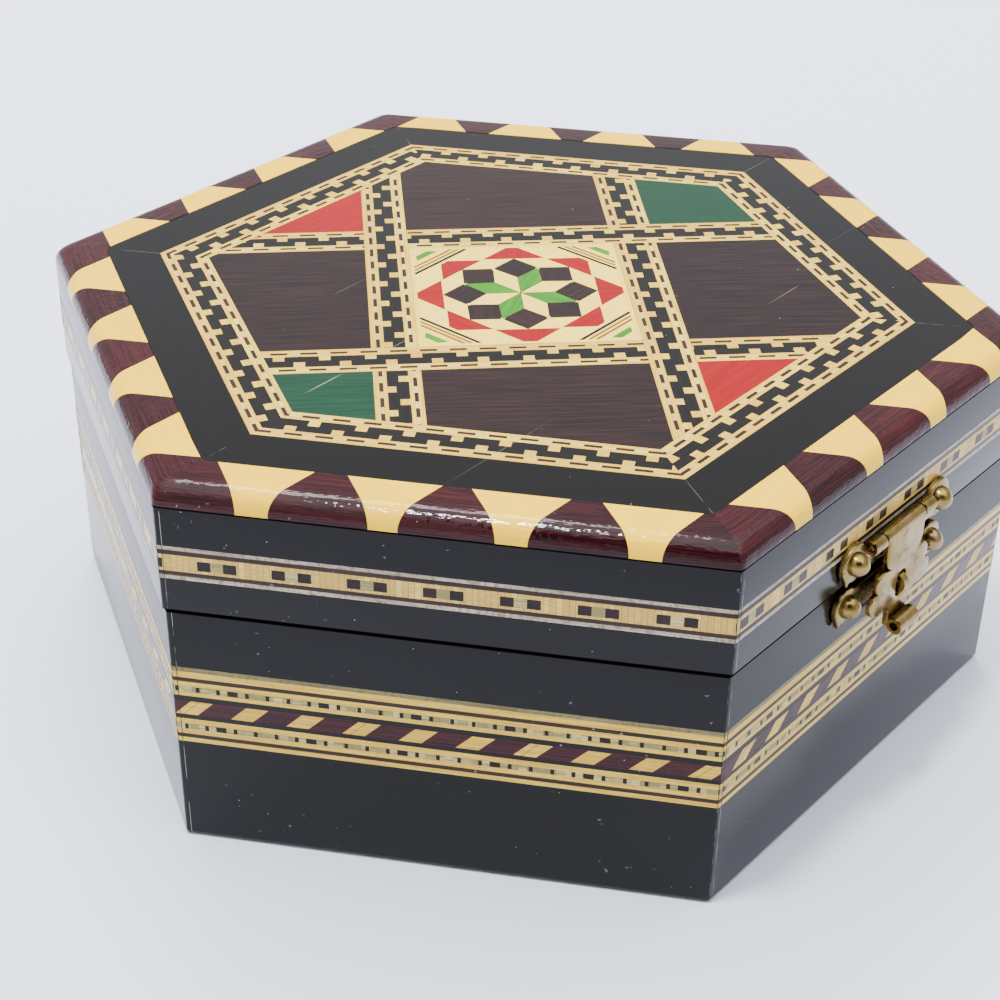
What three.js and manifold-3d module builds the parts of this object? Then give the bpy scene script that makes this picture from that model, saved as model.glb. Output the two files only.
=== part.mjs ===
// A six-sided marquetry jewellery box: mitred walls, a hinged lid with inlaid top, and a brass hasp.
// Millimetres, +Z up. The origin is the middle of the underside, and the hasp faces -Y.

import * as THREE from 'three';
import { mergeVertices } from 'three/addons/utils/BufferGeometryUtils.js';
import Module from 'manifold-3d';

const wasm = await Module();
wasm.setup();

// Outer sizes of the box and lid
const lidAcrossFlats = 138.6;
const lidOverhang = 0.5;
const bodyHeight = 41.7;
const partingGap = 0.6;
const lidHeight = 20.4;

// Boards
const wallThickness = 5;
const floorThickness = 5;
const topBoardThickness = 5;
const footChamfer = 0.8;
const glueLine = 0.25;

// Inlaid bands let into the outside of the walls
const bandThickness = 1;
const bodyBandBottom = 18.4;
const bodyBandHeight = 13.7;
const lidBandAboveEdge = 5.5;
const lidBandHeight = 5.4;

// Top of the lid, from the outside in
const edgingWidth = 8;
const edgingHeight = 3.2;
const edgingRadius = 2.9;
const veneerThickness = 1.2;
const borderWidth = 8.1;
const bandingWidth = 7.2;
const stripOffset = 20.8;
const medallionShiftX = -2.3;
const medallionShiftY = -0.5;

// Brass sheet, rods and nails
const sheetThickness = 0.9;
const metalGap = 0.2;
const runningGap = 0.1;
const nailSpacing = 23.5;
const nailHeadRadius = 1.95;
const nailHeadHeight = 1.8;
const nailShankRadius = 0.6;
const nailDepth = 3;
const headGap = 0.05;
const cuspRadius = 0.9;
const cuspAcross = 1.7;
const cuspDrop = 2.2;

// Hasp: a plate on the lid, a leaf that hangs from it, and a catch plate on the box
const haspShiftX = 0.5;
const haspPinAboveEdge = 5.1;
const haspNailsAboveEdge = 4.1;
const haspLobeRadius = 3.3;
const haspBarBelowNails = 2.9;
const haspBarrelRadius = 1.25;
const haspPinRadius = 0.5;
const haspBarrelHalf = 5.2;
const haspTongueHalf = 8.5;
const leafNeckHalf = 5.1;
const leafNeckDrop = 3.2;
const leafWaistHalf = 3.4;
const leafWaistDrop = 5.8;
const upperScallopRadius = 1.9;
const upperScallopAcross = 5.4;
const upperScallopDrop = 7.2;
const lowerScallopRadius = 2.2;
const lowerScallopAcross = 6.2;
const lowerScallopDrop = 10.4;
const leafTabHalf = 3;
const leafLength = 15.9;
const curlRadius = 1.7;
const curlBore = 0.8;
const slotClearance = 0.7;
const catchNailsBelowRim = 3;
const catchLobeRadius = 2.9;
const catchBarHeight = 4.8;
const stapleBelowRim = 4;
const stapleRadius = 1.6;
const stapleHoleRadius = 0.6;
const stapleWire = 1.2;
const stapleReach = 3.1;

// Two butt hinges on the back
const hingeSpacing = 44;
const hingeWidth = 14;
const hingeLeafHeight = 7.5;
const hingeBarrelRadius = 1.5;
const hingePinRadius = 0.65;
const hingeMiddleKnuckle = 4.8;

// Facets of round forms
const roundSides = 20;
const smallSides = 12;

// Places that follow from the sizes above
const lidApothem = lidAcrossFlats / 2;
const bodyApothem = lidApothem - lidOverhang;
const lidBottom = bodyHeight + partingGap;
const lidTop = lidBottom + lidHeight;
const edgingInner = lidApothem - edgingWidth;
const bandingOuter = edgingInner - borderWidth;
const bandingInner = bandingOuter - bandingWidth;
const veneerBottom = lidTop - veneerThickness;
const edgingBottom = lidTop - edgingHeight;
const sixth = Math.PI / 3;
const mitreSlope = Math.tan(Math.PI / 6);

const faces = [
  { name: 'front', turn: -90 },
  { name: 'front_right', turn: -30 },
  { name: 'back_right', turn: 30 },
  { name: 'back', turn: 90 },
  { name: 'back_left', turn: 150 },
  { name: 'front_left', turn: -150 },
];

function finish(color, roughness, metalness = 0) {
  return new THREE.MeshStandardMaterial({ color, roughness, metalness });
}

const finishes = {
  ebonised: finish(0x2e2f34, 0.35),
  carcass: finish(0x8a6a48, 0.6),
  rosewood: finish(0x5f2d2d, 0.3),
  wineVeneer: finish(0x4b3a3c, 0.35),
  banding: finish(0xdcc592, 0.4),
  greenVeneer: finish(0x3a7a5d, 0.4),
  redVeneer: finish(0xd9484f, 0.4),
  tile: finish(0xf0e2c0, 0.4),
  brass: finish(0xb59a5b, 0.35, 1),
};

// Geometry helpers

function signedVolume(geometry) {
  const flat = geometry.index ? geometry.toNonIndexed() : geometry;
  const spots = flat.getAttribute('position');
  const a = new THREE.Vector3();
  const b = new THREE.Vector3();
  const c = new THREE.Vector3();
  let sum = 0;
  for (let i = 0; i < spots.count; i += 3) {
    a.fromBufferAttribute(spots, i);
    b.fromBufferAttribute(spots, i + 1);
    c.fromBufferAttribute(spots, i + 2);
    sum += a.dot(b.cross(c)) / 6;
  }
  return sum;
}

// One closed body with shared corners and its faces pointing out
function closed(geometry) {
  const bare = geometry.clone();
  bare.deleteAttribute('normal');
  bare.deleteAttribute('uv');
  const merged = mergeVertices(bare, 1e-4);
  if (signedVolume(merged) < 0) {
    const index = merged.index.array;
    for (let i = 0; i < index.length; i += 3) {
      [index[i + 1], index[i + 2]] = [index[i + 2], index[i + 1]];
    }
  }
  return merged;
}

function toSolid(geometry) {
  const ready = closed(geometry);
  return new wasm.Manifold(new wasm.Mesh({
    numProp: 3,
    vertProperties: new Float32Array(ready.getAttribute('position').array),
    triVerts: new Uint32Array(ready.index.array),
  }));
}

function toGeometry(solid) {
  const mesh = solid.getMesh();
  const geometry = new THREE.BufferGeometry();
  geometry.setAttribute('position', new THREE.BufferAttribute(new Float32Array(mesh.vertProperties), 3));
  geometry.setIndex(new THREE.BufferAttribute(new Uint32Array(mesh.triVerts), 1));
  return geometry;
}

function joined(pieces) {
  return pieces.map(toSolid).reduce((whole, piece) => whole.add(piece));
}

function piece(name, geometry, material) {
  const ready = closed(geometry).toNonIndexed();
  ready.computeVertexNormals();
  const mesh = new THREE.Mesh(ready, material);
  mesh.name = name;
  return mesh;
}

// A flat plate with the given outline between two heights
function plate(outline, bottom, top) {
  const geometry = new THREE.ExtrudeGeometry(new THREE.Shape(outline), {
    depth: top - bottom,
    bevelEnabled: false,
  });
  return geometry.translate(0, 0, bottom);
}

function hexagon(apothem) {
  const radius = apothem / Math.cos(sixth / 2);
  return Array.from({ length: 6 }, (_, i) => (
    new THREE.Vector2(radius * Math.cos(i * sixth), radius * Math.sin(i * sixth))
  ));
}

// A six-sided turning: the profile holds [apothem, height] pairs and starts and ends on the axis, or closes
function sixSided(profile) {
  const points = profile.map(([apothem, height]) => (
    new THREE.Vector2(apothem / Math.cos(sixth / 2), height)
  ));
  const geometry = new THREE.LatheGeometry(points, 6, sixth / 2);
  return geometry.rotateX(Math.PI / 2);
}

// One straight length of a profile on one side of the hexagon, mitred to meet its neighbours
function mitredLength(profile, turn) {
  const shape = new THREE.Shape(profile.map(([apothem, height]) => new THREE.Vector2(apothem, height)));
  const geometry = new THREE.ExtrudeGeometry(shape, { depth: 1, bevelEnabled: false });
  const spots = geometry.getAttribute('position');
  const out = new THREE.Vector2(Math.cos(turn), Math.sin(turn));
  const halfGap = glueLine / 2 / Math.cos(sixth / 2);
  for (let i = 0; i < spots.count; i += 1) {
    const apothem = spots.getX(i);
    const height = spots.getY(i);
    const side = spots.getZ(i) > 0.5 ? 1 : -1;
    const along = side * (apothem * mitreSlope - halfGap);
    spots.setXYZ(i, out.x * apothem - out.y * along, out.y * apothem + out.x * along, height);
  }
  return geometry;
}

// Cuts a convex outline so that it stays within a distance of the origin along a direction
function clip(outline, angle, distance) {
  const normal = new THREE.Vector2(Math.cos(angle), Math.sin(angle));
  const kept = [];
  outline.forEach((point, i) => {
    const next = outline[(i + 1) % outline.length];
    const here = point.dot(normal) - distance;
    const there = next.dot(normal) - distance;
    if (here <= 0) kept.push(point);
    if (here * there < 0) kept.push(point.clone().lerp(next, here / (here - there)));
  });
  return kept;
}

// A rod or tube along X, round the point (out, height) of the sheet-metal frame
function rodAlongX(radius, bore, half, sides) {
  const shape = new THREE.Shape().absarc(0, 0, radius, 0, 2 * Math.PI);
  if (bore > 0) shape.holes.push(new THREE.Path().absarc(0, 0, bore, 0, 2 * Math.PI, true));
  const geometry = new THREE.ExtrudeGeometry(shape, {
    depth: 2 * half,
    bevelEnabled: false,
    curveSegments: sides,
  });
  return geometry.translate(0, 0, -half).rotateY(Math.PI / 2);
}

// Sheet metal that faces -Y: drawn in X and Z, with its back at y = -back
function sheet(shape, back, thickness = sheetThickness) {
  const geometry = new THREE.ExtrudeGeometry(shape, {
    depth: thickness,
    bevelEnabled: false,
    curveSegments: smallSides,
  });
  return geometry.rotateX(Math.PI / 2).translate(0, -back, 0);
}

function disc(x, z, radius) {
  return new THREE.Shape().absarc(x, z, radius, 0, 2 * Math.PI);
}

function rectangle(left, right, bottom, top) {
  return new THREE.Shape([
    new THREE.Vector2(left, bottom),
    new THREE.Vector2(right, bottom),
    new THREE.Vector2(right, top),
    new THREE.Vector2(left, top),
  ]);
}

// A straight hole along Y for a nail
function nailHole(x, z, from, to, radius) {
  return sheet(disc(x, z, radius), from, to - from);
}

// Wooden boards and their inlaid bands

function wallProfile(apothem, bottom, top, bandBottom, bandHeight, chamfer) {
  const inner = apothem - wallThickness;
  const grooved = apothem - bandThickness - glueLine;
  const foot = chamfer > 0 ? [[apothem - chamfer, bottom], [apothem, bottom + chamfer]] : [[apothem, bottom]];
  return [
    [inner, bottom],
    ...foot,
    [apothem, bandBottom - glueLine],
    [grooved, bandBottom - glueLine],
    [grooved, bandBottom + bandHeight + glueLine],
    [apothem, bandBottom + bandHeight + glueLine],
    [apothem, top],
    [inner, top],
  ];
}

function sideBand(apothem, bottom, height) {
  const inner = apothem - bandThickness;
  return sixSided([
    [inner, bottom],
    [apothem, bottom],
    [apothem, bottom + height],
    [inner, bottom + height],
    [inner, bottom],
  ]);
}

// Nails go through a plate into blind holes of the wall behind it
const nailSides = [
  { name: 'left', x: haspShiftX - nailSpacing / 2 },
  { name: 'right', x: haspShiftX + nailSpacing / 2 },
];

function wall(profile, face, nailHeight, faceApothem) {
  const board = mitredLength(profile, THREE.MathUtils.degToRad(face.turn));
  if (face.name !== 'front') return board;
  const holeRadius = nailShankRadius + runningGap;
  const holeBottom = faceApothem - nailDepth - metalGap;
  const holes = nailSides.map((side) => nailHole(side.x, nailHeight, holeBottom, faceApothem + 1, holeRadius));
  return toGeometry(toSolid(board).subtract(joined(holes)));
}

const haspNailHeight = lidBottom + haspNailsAboveEdge;
const catchNailHeight = bodyHeight - catchNailsBelowRim;
const lidBandBottom = lidBottom + lidBandAboveEdge;

const body = new THREE.Group();
const bodyWallProfile = wallProfile(bodyApothem, 0, bodyHeight, bodyBandBottom, bodyBandHeight, footChamfer);
for (const face of faces) {
  const board = wall(bodyWallProfile, face, catchNailHeight, bodyApothem);
  body.add(piece(`body_wall_${face.name}`, board, finishes.ebonised));
}
const floorOutline = hexagon(bodyApothem - wallThickness - glueLine);
body.add(piece('body_floor', plate(floorOutline, 0, floorThickness), finishes.carcass));
const bodyBand = sideBand(bodyApothem, bodyBandBottom, bodyBandHeight);
body.add(piece('body_inlay_band', bodyBand, finishes.banding));

const lid = new THREE.Group();
const lidWallTop = edgingBottom - glueLine;
const lidWallProfile = wallProfile(lidApothem, lidBottom, lidWallTop, lidBandBottom, lidBandHeight, 0);
for (const face of faces) {
  const board = wall(lidWallProfile, face, haspNailHeight, lidApothem);
  lid.add(piece(`lid_wall_${face.name}`, board, finishes.ebonised));
}
lid.add(piece('lid_inlay_band', sideBand(lidApothem, lidBandBottom, lidBandHeight), finishes.banding));

// The top board is rebated, so that its upper part lies inside the edging and its lower part inside the walls
function topBoard() {
  const top = veneerBottom - glueLine;
  const bottom = top - topBoardThickness;
  const upper = edgingInner - glueLine;
  const lower = lidApothem - wallThickness - glueLine;
  return sixSided([
    [0, bottom],
    [lower, bottom],
    [lower, lidWallTop],
    [upper, lidWallTop],
    [upper, top],
    [0, top],
  ]);
}
lid.add(piece('lid_top_board', topBoard(), finishes.carcass));

// Rounded edging of alternating blocks, one mitred length on each side
function edgingProfile() {
  const roundSteps = 6;
  const centre = lidApothem - edgingRadius;
  const profile = [[edgingInner, edgingBottom], [lidApothem, edgingBottom]];
  for (let i = 0; i <= roundSteps; i += 1) {
    const angle = (i / roundSteps) * (Math.PI / 2);
    profile.push([
      centre + edgingRadius * Math.cos(angle),
      lidTop - edgingRadius + edgingRadius * Math.sin(angle),
    ]);
  }
  profile.push([edgingInner, lidTop]);
  return profile;
}

const borderProfile = [
  [bandingOuter + glueLine, veneerBottom],
  [edgingInner - glueLine, veneerBottom],
  [edgingInner - glueLine, lidTop],
  [bandingOuter + glueLine, lidTop],
];
for (const face of faces) {
  const turn = THREE.MathUtils.degToRad(face.turn);
  lid.add(piece(`lid_edging_${face.name}`, mitredLength(edgingProfile(), turn), finishes.rosewood));
  lid.add(piece(`lid_border_${face.name}`, mitredLength(borderProfile, turn), finishes.ebonised));
}

// The strips of banding cross the hexagon in two pairs and leave nine openings, three by three
const stripAxes = [Math.PI / 4, (3 * Math.PI) / 4];

function opening(cells, gap) {
  const half = bandingWidth / 2;
  let outline = hexagon(bandingInner - gap);
  stripAxes.forEach((angle, i) => {
    const middle = medallionShiftX * Math.cos(angle) + medallionShiftY * Math.sin(angle);
    const near = stripOffset - half - gap;
    const far = stripOffset + half + gap;
    if (cells[i] === 0) {
      outline = clip(outline, angle, middle + near);
      outline = clip(outline, angle + Math.PI, near - middle);
    } else if (cells[i] === 1) {
      outline = clip(outline, angle + Math.PI, -middle - far);
    } else {
      outline = clip(outline, angle, middle - far);
    }
  });
  return outline;
}

const insets = [
  { name: 'lid_medallion', cells: [0, 0], material: finishes.tile },
  { name: 'lid_panel_back_right', cells: [1, 0], material: finishes.wineVeneer },
  { name: 'lid_panel_back_left', cells: [0, 1], material: finishes.wineVeneer },
  { name: 'lid_panel_front_left', cells: [-1, 0], material: finishes.wineVeneer },
  { name: 'lid_panel_front_right', cells: [0, -1], material: finishes.wineVeneer },
  { name: 'lid_triangle_back', cells: [1, 1], material: finishes.redVeneer },
  { name: 'lid_triangle_front', cells: [-1, -1], material: finishes.redVeneer },
  { name: 'lid_kite_right', cells: [1, -1], material: finishes.greenVeneer },
  { name: 'lid_kite_left', cells: [-1, 1], material: finishes.greenVeneer },
];

let lattice = toSolid(plate(hexagon(bandingOuter), veneerBottom, lidTop));
for (const inset of insets) {
  lattice = lattice.subtract(toSolid(plate(opening(inset.cells, 0), veneerBottom - 1, lidTop + 1)));
  const tile = plate(opening(inset.cells, glueLine), veneerBottom, lidTop);
  lid.add(piece(inset.name, tile, inset.material));
}
lid.add(piece('lid_banding_lattice', toGeometry(lattice), finishes.banding));

// Brass hasp

// A bar of sheet brass with a round lobe and a small cusp at each nail
function lobedPlate(bar, nailHeight, lobeRadius, back) {
  const parts = [sheet(bar, back)];
  for (const side of [-1, 1]) {
    const nailX = haspShiftX + (side * nailSpacing) / 2;
    const cusp = disc(nailX + side * cuspAcross, nailHeight - cuspDrop, cuspRadius);
    parts.push(sheet(disc(nailX, nailHeight, lobeRadius), back), sheet(cusp, back));
  }
  return parts;
}

const nailHoleRadius = nailShankRadius + runningGap;
const pinBore = haspPinRadius + runningGap;
const haspBack = lidApothem + metalGap;
const haspAxisY = -(haspBack + haspBarrelRadius);
const haspAxisZ = lidBottom + haspPinAboveEdge;
const barrelGap = metalGap + runningGap;

function haspPlate() {
  const bottom = haspNailHeight - haspBarBelowNails;
  const reach = nailSpacing / 2;
  const notchHalf = haspBarrelHalf + barrelGap;
  const notchBottom = haspAxisZ - haspBarrelRadius - barrelGap;
  const bar = new THREE.Shape([
    new THREE.Vector2(haspShiftX - reach, bottom),
    new THREE.Vector2(haspShiftX + reach, bottom),
    new THREE.Vector2(haspShiftX + reach, haspAxisZ),
    new THREE.Vector2(haspShiftX + notchHalf, haspAxisZ),
    new THREE.Vector2(haspShiftX + notchHalf, notchBottom),
    new THREE.Vector2(haspShiftX - notchHalf, notchBottom),
    new THREE.Vector2(haspShiftX - notchHalf, haspAxisZ),
    new THREE.Vector2(haspShiftX - reach, haspAxisZ),
  ]);
  const tongueHalf = (haspTongueHalf - notchHalf) / 2;
  const tongueMiddle = haspTongueHalf - tongueHalf;
  const barrels = [-1, 1].map((side) => (
    rodAlongX(haspBarrelRadius, 0, tongueHalf, roundSides)
      .translate(haspShiftX + side * tongueMiddle, haspAxisY, haspAxisZ)
  ));
  const bore = rodAlongX(pinBore, 0, haspTongueHalf + 1, smallSides).translate(haspShiftX, haspAxisY, haspAxisZ);
  const holes = nailSides.map((side) => (
    nailHole(side.x, haspNailHeight, haspBack - 1, haspBack + sheetThickness + 1, nailHoleRadius)
  ));
  const plates = lobedPlate(bar, haspNailHeight, haspLobeRadius, haspBack);
  return toGeometry(joined([...plates, ...barrels]).subtract(joined([bore, ...holes])));
}

// The leaf is drawn round its own pin: x across, z up, and its plate in front of the pin
function haspLeaf() {
  const back = haspBarrelRadius - sheetThickness;
  const bottomEdge = lowerScallopDrop + lowerScallopRadius * Math.SQRT1_2;
  const neck = new THREE.Shape();
  neck.moveTo(-leafNeckHalf, 0);
  neck.lineTo(-leafNeckHalf, -leafNeckDrop);
  neck.quadraticCurveTo(-leafNeckHalf, -leafWaistDrop, -leafWaistHalf, -leafWaistDrop);
  neck.lineTo(-leafWaistHalf, -bottomEdge);
  neck.lineTo(leafWaistHalf, -bottomEdge);
  neck.lineTo(leafWaistHalf, -leafWaistDrop);
  neck.quadraticCurveTo(leafNeckHalf, -leafWaistDrop, leafNeckHalf, -leafNeckDrop);
  neck.lineTo(leafNeckHalf, 0);
  const parts = [
    sheet(neck, back),
    sheet(rectangle(-lowerScallopAcross, lowerScallopAcross, -bottomEdge, -upperScallopDrop), back),
    sheet(rectangle(-leafTabHalf, leafTabHalf, -leafLength, -upperScallopDrop), back),
    rodAlongX(haspBarrelRadius, 0, haspBarrelHalf, roundSides),
  ];
  for (const side of [-1, 1]) {
    parts.push(
      sheet(disc(side * upperScallopAcross, -upperScallopDrop, upperScallopRadius), back),
      sheet(disc(side * lowerScallopAcross, -lowerScallopDrop, lowerScallopRadius), back),
    );
  }
  const curlCentre = back + curlRadius;
  parts.push(rodAlongX(curlRadius, 0, leafTabHalf, roundSides).translate(0, -curlCentre, -leafLength));
  const curlHollow = rodAlongX(curlBore, 0, leafTabHalf + 1, smallSides).translate(0, -curlCentre, -leafLength);
  const bore = rodAlongX(pinBore, 0, haspBarrelHalf + 1, smallSides);
  const slotMiddle = (bodyHeight - stapleBelowRim) - haspAxisZ;
  const slotHalfWidth = stapleWire / 2 + slotClearance;
  const slotHalf = stapleRadius + slotClearance;
  const slot = new THREE.Shape();
  slot.absarc(0, slotMiddle + slotHalf - slotHalfWidth, slotHalfWidth, 0, Math.PI);
  slot.absarc(0, slotMiddle - slotHalf + slotHalfWidth, slotHalfWidth, Math.PI, 2 * Math.PI);
  const slotCut = sheet(slot, back - 1, sheetThickness + 2);
  return toGeometry(joined(parts).subtract(joined([bore, slotCut, curlHollow])));
}

// The catch plate carries an upright staple that comes through the slot of the leaf
const catchBack = bodyApothem + metalGap;

function catchPlate() {
  const front = catchBack + sheetThickness;
  const bar = rectangle(
    haspShiftX - nailSpacing / 2,
    haspShiftX + nailSpacing / 2,
    catchNailHeight - catchBarHeight / 2,
    catchNailHeight + catchBarHeight / 2,
  );
  const root = -sheetThickness / 2;
  const straight = stapleReach - stapleRadius;
  const loop = new THREE.Shape();
  loop.moveTo(root, -stapleRadius);
  loop.lineTo(straight, -stapleRadius);
  loop.absarc(straight, 0, stapleRadius, -Math.PI / 2, Math.PI / 2);
  loop.lineTo(root, stapleRadius);
  loop.holes.push(new THREE.Path().absarc(straight, 0, stapleHoleRadius, 0, 2 * Math.PI, true));
  const staple = new THREE.ExtrudeGeometry(loop, {
    depth: stapleWire,
    bevelEnabled: false,
    curveSegments: smallSides,
  });
  staple.translate(0, 0, -stapleWire / 2).rotateX(Math.PI / 2).rotateZ(-Math.PI / 2);
  staple.translate(haspShiftX, -front, bodyHeight - stapleBelowRim);
  const holes = nailSides.map((side) => (
    nailHole(side.x, catchNailHeight, catchBack - 1, front + 1, nailHoleRadius)
  ));
  const plates = lobedPlate(bar, catchNailHeight, catchLobeRadius, catchBack);
  return toGeometry(joined([...plates, staple]).subtract(joined(holes)));
}

// A nail with a domed head: the shank runs from the head into the wood, towards +Y
function nail(shank) {
  const domeSteps = 5;
  const profile = [new THREE.Vector2(0, -shank), new THREE.Vector2(nailShankRadius, -shank)];
  profile.push(new THREE.Vector2(nailShankRadius, 0));
  for (let i = 0; i < domeSteps; i += 1) {
    const angle = (i / domeSteps) * (Math.PI / 2);
    profile.push(new THREE.Vector2(nailHeadRadius * Math.cos(angle), nailHeadHeight * Math.sin(angle)));
  }
  profile.push(new THREE.Vector2(0, nailHeadHeight));
  return new THREE.LatheGeometry(profile, roundSides).rotateX(Math.PI);
}

for (const side of nailSides) {
  const haspFront = haspBack + sheetThickness + headGap;
  const haspNail = piece(`hasp_nail_${side.name}`, nail(haspFront - lidApothem + nailDepth), finishes.brass);
  haspNail.position.set(side.x, -haspFront, haspNailHeight);
  lid.add(haspNail);
  const catchFront = catchBack + sheetThickness + headGap;
  const catchNail = piece(`catch_nail_${side.name}`, nail(catchFront - bodyApothem + nailDepth), finishes.brass);
  catchNail.position.set(side.x, -catchFront, catchNailHeight);
  body.add(catchNail);
}

lid.add(piece('hasp_plate', haspPlate(), finishes.brass));
const haspPin = piece('hasp_pin', rodAlongX(haspPinRadius, 0, haspTongueHalf, smallSides), finishes.brass);
haspPin.position.set(haspShiftX, haspAxisY, haspAxisZ);
lid.add(haspPin);
body.add(piece('catch_plate', catchPlate(), finishes.brass));

const hasp = new THREE.Group();
hasp.position.set(haspShiftX, haspAxisY, haspAxisZ);
hasp.add(piece('hasp_leaf', haspLeaf(), finishes.brass));

// Brass butt hinges on the back, with the pin behind the parting line

const hingeAxisY = lidApothem + metalGap + hingeBarrelRadius;
const hingeAxisZ = bodyHeight + partingGap / 2;
const hingeBore = hingePinRadius + runningGap;
const hingeHalf = hingeWidth / 2;
const middleHalf = hingeMiddleKnuckle / 2;
const clearRadius = hingeBarrelRadius + barrelGap;

// A leaf is a flat plate with barrels on the pin; the plate is cut clear of the other leaf's barrels
function hingeLeaf(face, direction, ownBarrels, otherBarrels) {
  const innerEdge = hingeAxisZ + direction * 0.3;
  const outerEdge = hingeAxisZ + direction * (hingeBarrelRadius + hingeLeafHeight);
  const low = Math.min(innerEdge, outerEdge);
  const high = Math.max(innerEdge, outerEdge);
  const back = -(face + metalGap + sheetThickness);
  const flat = sheet(rectangle(-hingeHalf, hingeHalf, low, high), back);
  const place = (geometry, x) => geometry.translate(x, hingeAxisY, hingeAxisZ);
  const rods = ownBarrels.map((span) => (
    place(rodAlongX(hingeBarrelRadius, 0, (span[1] - span[0]) / 2, roundSides), (span[0] + span[1]) / 2)
  ));
  const cuts = otherBarrels.map((span) => (
    place(rodAlongX(clearRadius, 0, (span[1] - span[0]) / 2, roundSides), (span[0] + span[1]) / 2)
  ));
  cuts.push(place(rodAlongX(hingeBore, 0, hingeHalf + 1, smallSides), 0));
  return toGeometry(joined([flat, ...rods]).subtract(joined(cuts)));
}

const middleBarrel = [[-middleHalf, middleHalf]];
const outerBarrels = [
  [-hingeHalf, -middleHalf - barrelGap],
  [middleHalf + barrelGap, hingeHalf],
];
const middleCut = [[-middleHalf - barrelGap, middleHalf + barrelGap]];
const outerCuts = [
  [-hingeHalf - 1, -middleHalf],
  [middleHalf, hingeHalf + 1],
];
for (const [name, side] of [['left', -1], ['right', 1]]) {
  const x = (side * hingeSpacing) / 2;
  const lower = piece(`hinge_${name}_body_leaf`, hingeLeaf(bodyApothem, -1, outerBarrels, middleCut), finishes.brass);
  const upper = piece(`hinge_${name}_lid_leaf`, hingeLeaf(lidApothem, 1, middleBarrel, outerCuts), finishes.brass);
  const pin = piece(`hinge_${name}_pin`, rodAlongX(hingePinRadius, 0, hingeHalf, smallSides), finishes.brass);
  lower.position.x = x;
  upper.position.x = x;
  pin.position.set(x, hingeAxisY, hingeAxisZ);
  body.add(lower, pin);
  lid.add(upper);
}

lid.add(hasp);
const box = new THREE.Group();
box.add(body, lid);
export default box;
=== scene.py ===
# %% [markdown]
# A marquetry jewelry box. The real one is a small six-sided box of black varnished wood. Its lid and
# sides are inlaid with strips that were glued up from coloured rods and sawn across, its edging is a row
# of light and dark blocks, and a small stamped brass hasp closes it. Here each cut piece of wood is a real
# piece of mesh, because the crisp joints are what the eye looks for.

# %% Frame and modules
import math
import random

import bmesh
import bpy
from mathutils import Matrix, Vector


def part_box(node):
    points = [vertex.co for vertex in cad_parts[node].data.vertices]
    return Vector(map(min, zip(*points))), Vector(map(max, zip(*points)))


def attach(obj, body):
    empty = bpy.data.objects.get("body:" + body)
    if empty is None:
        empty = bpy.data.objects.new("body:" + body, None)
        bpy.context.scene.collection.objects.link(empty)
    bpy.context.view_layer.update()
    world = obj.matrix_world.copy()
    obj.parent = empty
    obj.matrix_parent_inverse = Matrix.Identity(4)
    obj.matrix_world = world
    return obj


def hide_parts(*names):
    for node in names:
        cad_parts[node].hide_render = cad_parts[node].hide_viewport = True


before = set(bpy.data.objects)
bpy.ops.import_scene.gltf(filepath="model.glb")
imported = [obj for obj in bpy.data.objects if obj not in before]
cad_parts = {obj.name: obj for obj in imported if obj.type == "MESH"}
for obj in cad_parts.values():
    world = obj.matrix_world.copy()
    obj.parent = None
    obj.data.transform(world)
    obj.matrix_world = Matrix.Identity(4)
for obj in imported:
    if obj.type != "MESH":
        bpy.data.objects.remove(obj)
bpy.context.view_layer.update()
MM = 0.001
TAN30 = math.tan(math.radians(30))

# %% [markdown]
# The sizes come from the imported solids. Everything that lies flush in the surface is laid on a base that
# is a few hundredths of a millimetre lower, so that the finished surface stays where the solid's is.

# %% Sizes
lid_face = -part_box("lid_wall_front")[0].y
lid_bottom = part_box("lid_wall_front")[0].z
lid_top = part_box("lid_medallion")[1].z
body_face = -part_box("body_wall_front")[0].y
body_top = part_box("body_wall_front")[1].z
floor_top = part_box("body_floor")[1].z
lid_band_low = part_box("lid_inlay_band")[0].z
body_band_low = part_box("body_inlay_band")[0].z
edging_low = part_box("lid_edging_front")[0].z
wall = 5 * MM
recess = 0.06 * MM
level = 0.012 * MM
joint_gap = 0.04 * MM
sides = {"front": -90, "front_right": -30, "back_right": 30, "back": 90, "back_left": 150,
         "front_left": -150}
print("lid face", round(lid_face / MM, 2), "mm from the axis, lid top", round(lid_top / MM, 2), "mm")


# %% [markdown]
# Colours are picked as sRGB hex values, and Blender wants linear light, so one function converts them.
# Another adds a node with its settings, values and links, and two more begin and end every finish.

# %% Colour and node helpers
def linear(hex_value):
    channels = [int(hex_value[i:i + 2], 16) / 255 for i in (1, 3, 5)]
    return tuple(c / 12.92 if c <= 0.04045 else ((c + 0.055) / 1.055) ** 2.4 for c in channels) + (1.0,)


def add_node(tree, kind, values=None, links=None, **settings):
    made = tree.nodes.new(kind)
    for key, value in settings.items():
        setattr(made, key, value)
    for key, value in (values or {}).items():
        made.inputs[key].default_value = value
    for key, source in (links or {}).items():
        tree.links.new(source, made.inputs[key])
    return made


def start_material(name, **shader_values):
    """Returns the material, its node tree, its shader and the place on the object that is being coloured."""
    material = bpy.data.materials.new(name)
    material.use_nodes = True
    tree = material.node_tree
    tree.nodes.clear()
    shader = add_node(tree, "ShaderNodeBsdfPrincipled", shader_values)
    add_node(tree, "ShaderNodeOutputMaterial", links={"Surface": shader.outputs["BSDF"]})
    return material, tree, shader, add_node(tree, "ShaderNodeTexCoord").outputs["Object"]


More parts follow.
